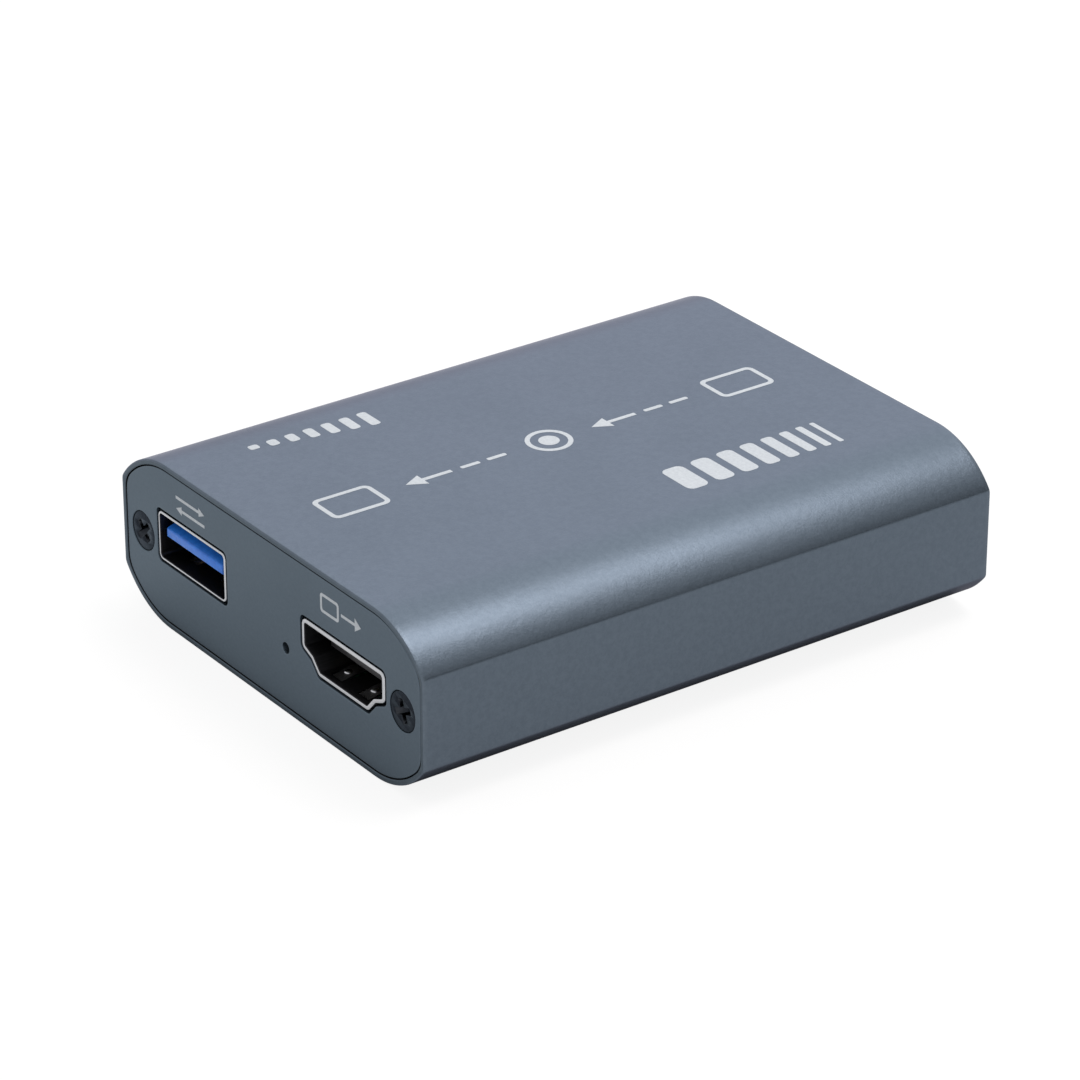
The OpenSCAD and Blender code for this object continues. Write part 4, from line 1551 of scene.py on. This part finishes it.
@dataclass
class PlateScrews:
    """The two countersunk screws of one end plate."""

    end: End
    rows: RowTree
    x: float = 24.6
    z: float = 9.7
    face: float = 36.32
    head_radius: float = 2.2
    head_rim: float = 0.15
    head_edge: float = 0.1
    shank_radius: float = 1.2
    root_radius: float = 1.0
    length: float = 6.0
    pitch: float = 0.45
    tip_taper: float = 0.3
    tip_length: float = 0.25
    steps: int = 48
    cross_width: float = 0.75
    cross_length: float = 2.7
    cross_foot: float = 0.9
    cross_depth: float = 1.2
    cross_edge: float = 0.05
    cross_radius: float = 0.06
    cross_steps: int = 3
    turns: Flat = (45.0, 70.0)

    def cross(self, length: float, grown: float) -> list[Flat]:
        """The cross recess of the left screw at one depth.

        Args:
            length: length over both wings.
            grown: how far it is widened.

        Returns:
            Its rounded outline.
        """
        w, far = self.cross_width / 2, length / 2
        wing = [(far, -w), (far, w), (w, w)]
        corners = []
        for quarter in range(4):
            a = math.pi / 2 * quarter - math.radians(self.turns[0])
            c, s = math.cos(a), math.sin(a)
            corners += [(x * c - y * s, x * s + y * c) for x, y in wing]
        return rounded(drawn_in(corners, -grown), self.cross_radius, self.cross_steps)

    def profile(self) -> list[Flat]:
        """The outline of the turned screw.

        Returns:
            Pairs of radius and depth, from the head's edge to the tip.
        """
        cone_end = self.head_rim + self.head_radius - self.shank_radius
        points = [(self.head_radius - back, down) for back, down in round_over(self.head_edge)]
        points += [(self.head_radius, self.head_rim), (self.shank_radius, cone_end)]
        depth = cone_end + self.pitch
        while depth < self.length - self.pitch:
            points += [(self.shank_radius, depth), (self.root_radius, depth + self.pitch / 2)]
            depth += self.pitch
        shoulder = (self.root_radius, self.length - self.tip_length)
        return points + [shoulder, (self.root_radius - self.tip_taper, self.length)]

    def build(self) -> None:
        """Builds and dresses both screws."""
        draft, side, edge = Draft(), self.end.value, self.cross_edge
        loops = lathe(draft, [(r, -side * y) for r, y in self.profile()], self.steps)
        steps = (
            (self.cross_length, edge, 0.0),
            (self.cross_length, 0.0, edge),
            (self.cross_foot, 0.0, self.cross_depth),
        )
        # The recess rim is worn lighter: partly driver wear, partly a painted glint in the recess.
        wings = [
            draft.ring(upright(self.cross(length, grown), -side * depth), float(depth == edge))
            for length, grown, depth in steps
        ]
        draft.stack(wings)
        draft.fill(loops[0], [wings[0]])
        draft.fill(wings[-1])
        draft.fill(loops[-1])
        node = f"{self.end.name.lower()}_plate_screws"
        start = Vector((side * self.x, side * self.face, self.z))
        step = Vector((-2 * side * self.x, 0.0, 0.0))
        twist = Vector((0.0, -side * math.radians(self.turns[1] - self.turns[0]), 0.0))
        screws = self.rows.row(draft.mesh(node), Finishes.SCREW.material(), 2, start, step, twist)
        present(f"{node}_finished", screws, node)


@dataclass(frozen=True)
class Bow:
    """The bowed line of a spring strip, from its root over a crest to its tip."""

    length: float
    crest: float
    rise: float
    tip_share: float = 0.25

    def height(self, along: float) -> float:
        """Height of the bow over its root.

        Args:
            along: distance from the root.

        Returns:
            The height, which falls to a share of the rise at the tip.
        """
        if along <= self.crest:
            return self.rise * eased(max(0.0, along / self.crest))
        beyond = (along - self.crest) / (self.length - self.crest)
        return self.rise * (1 - (1 - self.tip_share) * eased(beyond))


@dataclass
class Socket:
    """What the sockets share: a shell whose inside is painted dark as shade, and fixed contacts."""

    node: str
    end: End
    strips: StripTree
    rows: RowTree
    x: float
    z: float
    rim: float
    lining_start: float
    board_top: float = 6.6
    mouth: float = 36.4
    mouth_band: float = 0.02
    inwards: float = 0.05

    @property
    def face(self) -> float:
        """Place of the mouth along the depth."""
        return self.end.value * self.mouth

    def hollow(self, middle: Vector, normal: Vector) -> bool:
        """Tells a face in the hollow, which takes the painted shade, from the rim and the outside.
        """
        outwards = (middle.x - self.x) * normal.x + (middle.z - self.z) * normal.z
        return outwards < -self.inwards and abs(middle.y - self.face) > self.lining_start

    def build_shell(self) -> None:
        """Builds and dresses the shell."""
        rim = Cut(self.rim, lambda p: abs(p.y - self.face) < self.mouth_band)
        # The hollow's faces take a copy of the nickel that is painted dark as shade.
        lining = Lining(Finishes.NICKEL_PAINTED_SHADE, self.hollow)
        softened(f"{self.node}_shell", Finishes.NICKEL, rim, lining=lining)

    def build_contacts(self) -> None:
        """Builds and dresses the fixed contacts."""
        softened(f"{self.node}_contacts", Finishes.GOLD, FINE_EDGES)


@dataclass
class Fingers:
    """The pairs of spring fingers in the walls of one socket."""

    socket: Socket
    depth: float
    floor: float
    middle: float
    pitch: float
    bow: Bow
    width: float = 1.7
    thickness: float = 0.28
    root: float = 0.13
    steps: int = 20
    dimple: float = 1.3
    dimple_radius: float = 0.5
    dimple_height: float = 0.2
    dimple_steps: int = 20
    dimple_degrees: tuple[int, ...] = (-20, 0, 20, 40, 60, 80)

    def place(self, wall: Wall, along: float, over: float) -> Vector:
        """A point on the socket's middle plane.

        Args:
            wall: the wall that carries the finger.
            along: distance from the finger's root.
            over: height over its bowed face.

        Returns:
            The point.
        """
        z = self.floor + self.bow.height(along) + over
        if wall is Wall.UPPER:
            z = 2 * self.middle - z
        y = self.socket.end.value * (self.socket.mouth - self.depth - along)
        return Vector((self.socket.x, y, self.socket.board_top + z))

    def path(self, wall: Wall) -> list[Vector]:
        """The middle line of a finger on the socket's middle plane.

        Args:
            wall: the wall that carries the finger.

        Returns:
            Points from behind the root to the tip.
        """
        reach = self.bow.length + self.root
        stops = [-self.root + reach * i / self.steps for i in range(self.steps + 1)]
        return [self.place(wall, along, -self.thickness / 2) for along in stops]

    def bump(self, wall: Wall) -> Mesh:
        """Draws the round contact dimple of a finger, its foot inside the sheet.

        Args:
            wall: the wall that carries the finger.

        Returns:
            The dimple on the socket's middle plane.
        """
        draft, loops = Draft(), []
        for a in map(math.radians, self.dimple_degrees):
            x, y, z = self.place(wall, self.dimple, self.dimple_height * math.sin(a))
            outline = circle((x, y), self.dimple_radius * math.cos(a), self.dimple_steps)
            loops.append(draft.ring([Vector((u, v, z)) for u, v in outline]))
        draft.stack(loops)
        draft.fill(loops[0])
        draft.fill(loops[-1])
        return draft.mesh("contact_dimple")

    def build(self) -> None:
        """Builds and dresses the fingers of both walls."""
        strips, rows = self.socket.strips, self.socket.rows
        # The fingers take the nickel painted darker as shade; their dimples keep the plain nickel.
        spring, bright = Finishes.SPRING_PAINTED_SHADE.material(), Finishes.NICKEL.material()
        for wall in Wall:
            node = f"{self.socket.node}_{wall.value}_fingers"
            one = strips.strip(self.path(wall), spring, self.width, self.thickness)
            fingers = rows.pair(one, spring, self.pitch)
            dimples = rows.pair(self.bump(wall), bright, self.pitch)
            present(f"{node}_finished", joined(node, [fingers, dimples]), node)


@dataclass
class VideoSocket(Socket):
    """A video socket: shell, insulator, contacts and spring fingers."""

    x: float = 13.9
    z: float = 9.8
    rim: float = 0.14
    lining_start: float = 0.03
    insulator_edge: float = 0.06

    def build(self) -> None:
        """Builds and dresses the socket."""
        self.build_shell()
        softened(f"{self.node}_insulator", Finishes.INSULATOR, Cut(self.insulator_edge))
        self.build_contacts()
        bow = Bow(length=3.5, crest=2.2, rise=0.38)
        Fingers(self, depth=1.0, floor=0.9, middle=3.2, pitch=4.9, bow=bow).build()


@dataclass
class DataSocket(Socket):
    """The data socket: shell, blue tongue, fixed and sprung contacts and spring fingers."""

    x: float = -14.8
    z: float = 10.7
    rim: float = 0.13
    lining_start: float = 0.012
    tongue_sink: float = 0.35
    tongue_lip: float = 11.65
    tongue_slope: float = 0.36
    tongue_nose: float = 0.3
    nose_edge: float = 0.16
    tongue_edge: float = 0.07
    back: float = -26.9
    back_slope: float = 0.5
    beam_root: Flat = (9.2, 4.445)
    beam_bow: Bow = Bow(length=6.4, crest=5.4, rise=0.8)
    beam_width: float = 1.0
    beam_thickness: float = 0.2
    beam_pitches: Flat = (2.0, 7.0)
    beam_steps: int = 24

    def build_tongue(self) -> None:
        """Builds and dresses the insulator, a blue tongue with a slanted nose and a back painted
        black as shade.
        """
        front = self.face + self.tongue_sink
        slant = Vector((0.0, -self.tongue_slope, 1.0)).normalized()

        def shaded_back(middle: Vector, normal: Vector) -> bool:
            """Tells the faces of the back, which are painted black as shade."""
            return middle.y > self.back and abs(normal.y) > self.back_slope

        softened(
            f"{self.node}_insulator",
            Finishes.TONGUE,
            Slice(Vector((self.x, front, self.tongue_lip)), slant),
            Cut(self.nose_edge, lambda p: p.y < front + self.tongue_nose),
            Cut(self.tongue_edge),
            # The back of the blue insulator takes the black finish as painted shade.
            lining=Lining(Finishes.INSULATOR, shaded_back),
        )

    def beam_path(self) -> list[Vector]:
        """The middle line of a sprung contact on the socket's middle plane.

        Returns:
            Points from the root to the tip.
        """
        depth, height = self.beam_root
        points = []
        for i in range(self.beam_steps + 1):
            along = self.beam_bow.length * i / self.beam_steps
            z = self.board_top + height - self.beam_bow.height(along)
            points.append(Vector((self.x, depth - along - self.mouth, z)))
        return points

    def build_beams(self) -> None:
        """Builds and dresses the sprung contacts."""
        finish, width = Finishes.GOLD.material(), self.beam_width
        beams = []
        for pitch in self.beam_pitches:
            one = self.strips.strip(self.beam_path(), finish, width, self.beam_thickness)
            beams.append(self.rows.pair(one, finish, pitch))
        node = f"{self.node}_sprung_contacts"
        present(f"{node}_finished", joined(node, beams), node)

    def build(self) -> None:
        """Builds and dresses the socket."""
        self.build_shell()
        self.build_tongue()
        self.build_contacts()
        self.build_beams()
        bow = Bow(length=3.5, crest=2.2, rise=0.5)
        Fingers(self, depth=2.2, floor=1.545, middle=4.1, pitch=6.0, bow=bow).build()


@dataclass
class Board:
    """The circuit board and what stands on it, each with its finish and rounding, if any."""

    parts: dict[str, tuple[Finish, Cut | None]] = field(default_factory=lambda: {
        "main_board": (Finishes.BOARD, None),
        "thermal_tape": (Finishes.TAPE, None),
        "capture_chip": (Finishes.PACKAGE, Cut(0.08)),
        "loop_chip": (Finishes.PACKAGE, Cut(0.07)),
        "memory_chip": (Finishes.PACKAGE, Cut(0.1)),
        "voltage_regulators": (Finishes.PACKAGE, Cut(0.08)),
        "surge_arrays": (Finishes.PACKAGE, Cut(0.05)),
        "heat_sink": (Finishes.SINK, Cut(0.08)),
        "power_inductors": (Finishes.FERRITE, Cut(0.25)),
        "supply_fuse": (Finishes.FUSE, Cut(0.08)),
        "crystals": (Finishes.NICKEL, Cut(0.15)),
        "bulk_capacitor_bases": (Finishes.INSULATOR, Cut(0.12)),
        "bulk_capacitors": (Finishes.CAN, Cut(0.35)),
        "memory_chip_leads": (Finishes.TIN, FINE_EDGES),
        "regulator_leads": (Finishes.TIN, FINE_EDGES),
        "ceramic_capacitors": (Finishes.CERAMIC, Cut(0.06)),
        "resistors": (Finishes.PACKAGE, Cut(0.04)),
        "status_light_body": (Finishes.LIGHT_BODY, Cut(0.08)),
        "status_light_lens": (Finishes.LENS, None),
    })

    def build(self) -> None:
        """Builds and dresses the board."""
        for node, (finish, edges) in self.parts.items():
            if edges:
                softened(node, finish, edges)
            else:
                dress(node, finish)


@dataclass
class Marks:
    """Plain pictograms in pale ink, drawn on one face."""

    name: str
    place: Callable[[float, float, float], Vector]
    stroke: float
    thickness: float = 0.012
    bar_radius_share: float = 0.3
    bar_steps: int = 4
    inner_radius_share: float = 0.5
    ring_steps: int = 48
    dot_steps: int = 40
    draft: Draft = field(default_factory=lambda: Draft(Finishes.INK))

    def sides(self, outline: Sequence[Flat]) -> list[list[Vector]]:
        """An outline at the foot and at the top of the ink."""
        heights = (-self.thickness, self.thickness)
        return [[self.place(u, v, height) for u, v in outline] for height in heights]

    def solid(self, outline: Sequence[Flat]) -> None:
        """A filled mark."""
        self.draft.slab(*self.sides(outline))

    def hoop(self, outer: Sequence[Flat], inner: Sequence[Flat]) -> None:
        """A mark with an opening."""
        self.draft.hoop(*zip(self.sides(outer), self.sides(inner)))

    def bar(self, middle: Flat, size: Flat) -> None:
        """A bar with softened corners."""
        corners = rounded(rectangle(*size), min(size) * self.bar_radius_share, self.bar_steps)
        self.solid(moved(corners, middle))

    def screen(self, middle: Flat, size: Flat, radius: float) -> None:
        """The outline of a screen.

        Args:
            middle: its middle.
            size: its width and height.
            radius: radius of its outer corners.
        """
        inside = [length - 2 * self.stroke for length in size]
        outer = rounded(rectangle(*size), radius)
        inner = rounded(rectangle(*inside), radius * self.inner_radius_share)
        self.hoop(moved(outer, middle), moved(inner, middle))

    def ringed_dot(self, middle: Flat, radius: float, dot: float) -> None:
        """A ring with a dot in it.

        Args:
            middle: middle of both.
            radius: outer radius of the ring.
            dot: radius of the dot.
        """
        outer, inner = (circle(middle, r, self.ring_steps) for r in (radius, radius - self.stroke))
        self.hoop(outer, inner)
        self.solid(circle(middle, dot, self.dot_steps))

    def arrow(self, tail: Flat, tip: Flat, head: Flat) -> None:
        """A straight arrow.

        Args:
            tail: where it begins.
            tip: where it ends.
            head: length and width of its head.
        """
        start, stop = Vector(tail), Vector(tip)
        along = (stop - start).normalized()
        across = Vector((-along.y, along.x))
        neck = stop - along * head[0]
        half, wide = across * self.stroke / 2, across * head[1] / 2
        lower = [start - half, neck - half, neck - wide]
        upper = [neck + wide, neck + half, start + half]
        self.solid([tuple(p) for p in (*lower, stop, *upper)])

    def level_arrow(self, middle: Flat, reach: float, head: Flat) -> None:
        """An arrow along the width that reaches as far on both sides of its middle."""
        x, z = middle
        self.arrow((x - reach, z), (x + reach, z), head)

    def show(self) -> None:
        """Adds the marks to the box."""
        present(self.name, self.draft.mesh(self.name))


@dataclass
class Prints:
    """The pictograms on the top and on both end plates."""

    top: float = 19.4
    top_stroke: float = 0.55
    way_x: float = -1.05
    screen_y: float = 25.2
    screen_size: Flat = (5.0, 7.2)
    screen_radius: float = 0.9
    ring_radius: float = 2.6
    dot_radius: float = 1.15
    leg_y: float = 12.0
    dashes: Flat = (5.2, 1.8)
    dash_length: float = 2.4
    leg_arrow: Flat = (-0.6, -6.4)
    leg_head: Flat = (2.2, 2.3)
    levels: int = 7
    level_start: Flat = (-18.4, -26.4)
    level_pitch: float = 2.3
    level_width: float = 1.2
    level_length: float = 1.0
    level_growth: float = 0.4
    bars: int = 8
    bar_start: Flat = (14.5, 5.0)
    bar_length: float = 5.4
    bar_width: float = 2.7
    bar_shrink: float = 0.3
    bar_gap: float = 1.05
    face: float = 36.4
    face_stroke: float = 0.34
    mark_z: float = 15.9
    sign_x: float = 11.7
    sign_size: Flat = (3.4, 2.2)
    sign_radius: float = 0.4
    video_arrow_x: float = 15.6
    video_arrow_reach: float = 1.8
    video_arrow_head: Flat = (1.1, 1.5)
    data_arrow_x: float = -14.8
    data_arrow_rise: float = 0.65
    data_arrow_reach: float = 2.8
    data_arrow_head: Flat = (1.1, 1.0)

    def signal_way(self, marks: Marks) -> None:
        """The signal's way through the box, from screen to screen.

        Args:
            marks: the marks that take it.
        """
        x = self.way_x
        for y in (-self.screen_y, self.screen_y):
            marks.screen((x, y), self.screen_size, self.screen_radius)
        marks.ringed_dot((x, 0.0), self.ring_radius, self.dot_radius)
        for middle in (-self.leg_y, self.leg_y):
            for dash in self.dashes:
                marks.bar((x, middle + dash), (marks.stroke, self.dash_length))
            tail, tip = self.leg_arrow
            marks.arrow((x, middle + tail), (x, middle + tip), self.leg_head)

    def level_row(self, marks: Marks) -> None:
        """A row of level bars that grow.

        Args:
            marks: the marks that take it.
        """
        x, y = self.level_start
        for i in range(self.levels):
            length = self.level_length + self.level_growth * i
            marks.bar((x + length / 2, y + self.level_pitch * i), (length, self.level_width))

    def test_bars(self, marks: Marks) -> None:
        """A row of test bars that narrow.

        Args:
            marks: the marks that take it.
        """
        x, y = self.bar_start
        for i in range(self.bars):
            width = self.bar_width - self.bar_shrink * i
            marks.bar((x, y + width / 2), (self.bar_length, width))
            y += width + self.bar_gap

    def on_top(self) -> None:
        """The marks on the top of the sleeve."""
        marks = Marks("top_marks", lambda x, y, h: Vector((x, y, self.top + h)), self.top_stroke)
        self.signal_way(marks)
        self.level_row(marks)
        self.test_bars(marks)
        marks.show()

    def on_plate(self, end: End) -> None:
        """The marks over the sockets of one plate.

        Args:
            end: the plate's end.
        """
        side, z = end.value, self.mark_z
        marks = Marks(
            f"{end.name.lower()}_marks",
            lambda x, z, h: Vector((x, side * (self.face + h), z)),
            self.face_stroke,
        )
        marks.screen((self.sign_x, z), self.sign_size, self.sign_radius)
        out = -side * self.video_arrow_reach
        marks.level_arrow((self.video_arrow_x, z), out, self.video_arrow_head)
        if end is End.FRONT:
            for way in (1, -1):
                middle = (self.data_arrow_x, z + way * self.data_arrow_rise)
                marks.level_arrow(middle, way * self.data_arrow_reach, self.data_arrow_head)
        marks.show()


@dataclass(frozen=True)
class Softbox:
    """A square lamp that faces the box, with its lengths in metres."""

    name: str
    place: tuple[float, float, float]
    side: float
    radiance: float
    tint: Colour = (1.0, 1.0, 1.0)

    def hang(self) -> None:
        """Adds the lamp to the scene; a face with a radiance of 1 is white."""
        data = bpy.data.lights.new(self.name, "AREA")
        data.shape, data.size = "SQUARE", self.side
        data.energy = self.radiance * math.pi * self.side * self.side
        data.color = self.tint
        made = linked(self.name, data)
        made.location = self.place
        made.rotation_euler = Vector(self.place).to_track_quat("Z", "Y").to_euler()


@dataclass
class Studio:
    """Camera, soft lamps and a pale floor."""

    azimuth: float = 54.383
    elevation: float = 26.864
    distance: float = 517.9
    shift_right: float = -1.568
    shift_up: float = -1.543
    target_height: float = 9.7
    lens: float = 161.37
    sensor: float = 36.0
    near: float = 10.0
    surround: Flat = (0.7, 1.0)
    floor_side: float = 6000.0
    floor_gap: float = 0.02
    floor_seen: float = 0.87
    floor_mirrored: float = 0.48
    # Floor colours under the painted shadow and on the open floor, for rays other than the camera's.
    floor_tones: Flat = (0.36, 0.6)
    floor_shade: float = 0.16
    painted_shadow_behind: float = 4.0
    painted_shadow_fade: Flat = (-1.5, 2.0)
    card_way: tuple[float, float, float] = (0.66, 0.54, 0.39)
    card_away: float = 800.0
    card_size: Flat = (800.0, 340.0)
    card_tone: float = 0.4
    card_rough: float = 0.9
    softboxes: tuple[Softbox, ...] = (
        Softbox("overhead_softbox", (0.105, 0.228, 0.60), 0.30, 5.65, (1.0, 0.94, 0.93)),
        Softbox("back_softbox", (-0.42, 0.42, 0.50), 0.72, 0.96),
    )

    def camera(self) -> None:
        """Sets the camera at the photograph's viewing angle."""
        az, el = math.radians(self.azimuth), math.radians(self.elevation)
        back = Vector((math.sin(az) * math.cos(el), -math.cos(az) * math.cos(el), math.sin(el)))
        right = Vector((math.cos(az), math.sin(az), 0.0))
        up = back.cross(right)
        target = Vector((0.0, 0.0, self.target_height))
        target += right * self.shift_right + up * self.shift_up
        data = bpy.data.cameras.new("camera")
        data.lens, data.sensor_width = self.lens, self.sensor
        data.clip_start = self.near * MM
        seat = linked("camera", data)
        seat.location = (target + back * self.distance) * MM
        seat.rotation_euler = back.to_track_quat("Z", "Y").to_euler()
        bpy.context.scene.camera = seat

    def seen(self, bench: Bench) -> Output:
        """One where a ray shows the background itself or its reflection.

        Args:
            bench: the bench of the background's tree.

        Returns:
            The output with the mask.
        """
        rays = bench.add("ShaderNodeLightPath").outputs
        both = bench.math("MAXIMUM", rays["Is Camera Ray"], rays["Is Glossy Ray"])
        return bench.math("MAXIMUM", both, rays["Is Transmission Ray"])

    def world(self) -> None:
        """A white surround that lights the box at a lower level."""
        world = bpy.data.worlds.new("surround")
        world.use_nodes = True
        bpy.context.scene.world = world
        bench = Bench(world.node_tree)
        shader = world.node_tree.nodes["Background"]
        shader.inputs["Color"].default_value = WHITE
        strength = bench.spread(self.seen(bench), UNIT, self.surround)
        world.node_tree.links.new(strength, shader.inputs["Strength"])

    def outside_painted_shadow(self, bench: Bench) -> Output:
        """A mask for the painted shadow: one on the open floor, falling to zero under the box and
        close behind it.

        Args:
            bench: the bench of the floor's material.

        Returns:
            The output with the mask.
        """
        low, high = CAD_BOX
        place = bench.add("ShaderNodeTexCoord").outputs["Object"]
        axes = bench.add("ShaderNodeSeparateXYZ", {0: place}).outputs
        away = []
        for axis, behind in enumerate((0.0, self.painted_shadow_behind / 2 * MM)):
            aside = bench.math("ABSOLUTE", bench.math("SUBTRACT", axes[axis], behind))
            away.append(bench.math("SUBTRACT", aside, (high[axis] - low[axis]) / 2 + behind))
        fade = tuple(length * MM for length in self.painted_shadow_fade)
        return bench.spread(bench.math("MAXIMUM", *away), fade, UNIT)

    def staged(
        self, name: str, corners: Iterable[Vector], material: Material
    ) -> bpy.types.Object:
        """Adds a flat piece of the stage.

        Args:
            name: its name.
            corners: its corners in order.
            material: its material.

        Returns:
            The piece.
        """
        draft = Draft()
        draft.fill(draft.ring(corners))
        mesh = draft.mesh(name)
        mesh.materials.append(material)
        made = linked(name, mesh)
        return made

    def floor(self) -> None:
        """A pale floor that keeps a faint shadow; under and just behind the box, reflections and
        bounced light see a painted shadow.
        """
        made = node_material("pale_floor")
        tree, bench = made.node_tree, Bench(made.node_tree)
        tree.nodes.remove(tree.nodes["Principled BSDF"])
        rays = bench.add("ShaderNodeLightPath").outputs
        # The mask paints a shadow under the box into the floor's glow and colour for rays other than
        # the camera's.
        clear = self.outside_painted_shadow(bench)
        mirrored = bench.math("MAXIMUM", rays["Is Glossy Ray"], rays["Is Transmission Ray"])
        level = bench.math("MULTIPLY", clear, self.floor_mirrored)
        shown = bench.math("MULTIPLY", rays["Is Camera Ray"], self.floor_seen)
        glow = bench.math("MAXIMUM", shown, bench.math("MULTIPLY", mirrored, level))
        light = bench.add("ShaderNodeEmission", {"Color": WHITE, "Strength": glow})
        lit = bench.blend(clear, *((tone,) * 3 for tone in self.floor_tones))
        pale = bench.blend(rays["Is Camera Ray"], lit, (self.floor_shade,) * 3)
        plain = bench.add("ShaderNodeBsdfDiffuse", {"Color": pale})
        mixed = bench.add("ShaderNodeAddShader", {0: light.outputs[0], 1: plain.outputs[0]})
        tree.links.new(mixed.outputs[0], tree.nodes["Material Output"].inputs["Surface"])
        outline = rectangle(self.floor_side, self.floor_side)
        self.staged("floor", [Vector((x, y, -self.floor_gap)) for x, y in outline], made)

    def grey_card(self) -> None:
        """A grey card beside the box that shows only in reflections, so that the creases read."""
        way = Vector(self.card_way).normalized()
        across = way.cross(Vector((0.0, 0.0, 1.0))).normalized()
        spot, rise = way * self.card_away, across.cross(way)
        made = node_material("card_grey")
        shader = made.node_tree.nodes["Principled BSDF"]
        shader.inputs["Base Color"].default_value = (*(self.card_tone,) * 3, 1.0)
        shader.inputs["Roughness"].default_value = self.card_rough
        corners = [spot + across * u + rise * v for u, v in rectangle(*self.card_size)]
        card = self.staged("grey_card", corners, made)
        card.visible_camera = card.visible_diffuse = card.visible_shadow = False

    def build(self) -> None:
        """Sets up the studio."""
        bpy.context.scene.view_settings.view_transform = "Standard"
        self.camera()
        self.world()
        self.floor()
        self.grey_card()
        for softbox in self.softboxes:
            softbox.hang()


def main() -> None:
    """Builds every sub-assembly in order."""
    logging.basicConfig(level=logging.INFO, format="%(name)s: %(message)s")
    Studio().build()
    rows, strips, sleeve = RowTree(), StripTree(), Sleeve()
    sleeve.build()
    for end in End:
        EndPlate(end, sleeve).build()
        PlateScrews(end, rows).build()
    DataSocket("data_socket", End.FRONT, strips, rows).build()
    VideoSocket("video_out", End.FRONT, strips, rows).build()
    VideoSocket("video_in", End.REAR, strips, rows).build()
    Board().build()
    prints = Prints()
    prints.on_top()
    for end in End:
        prints.on_plate(end)


if __name__ == "__main__":
    main()
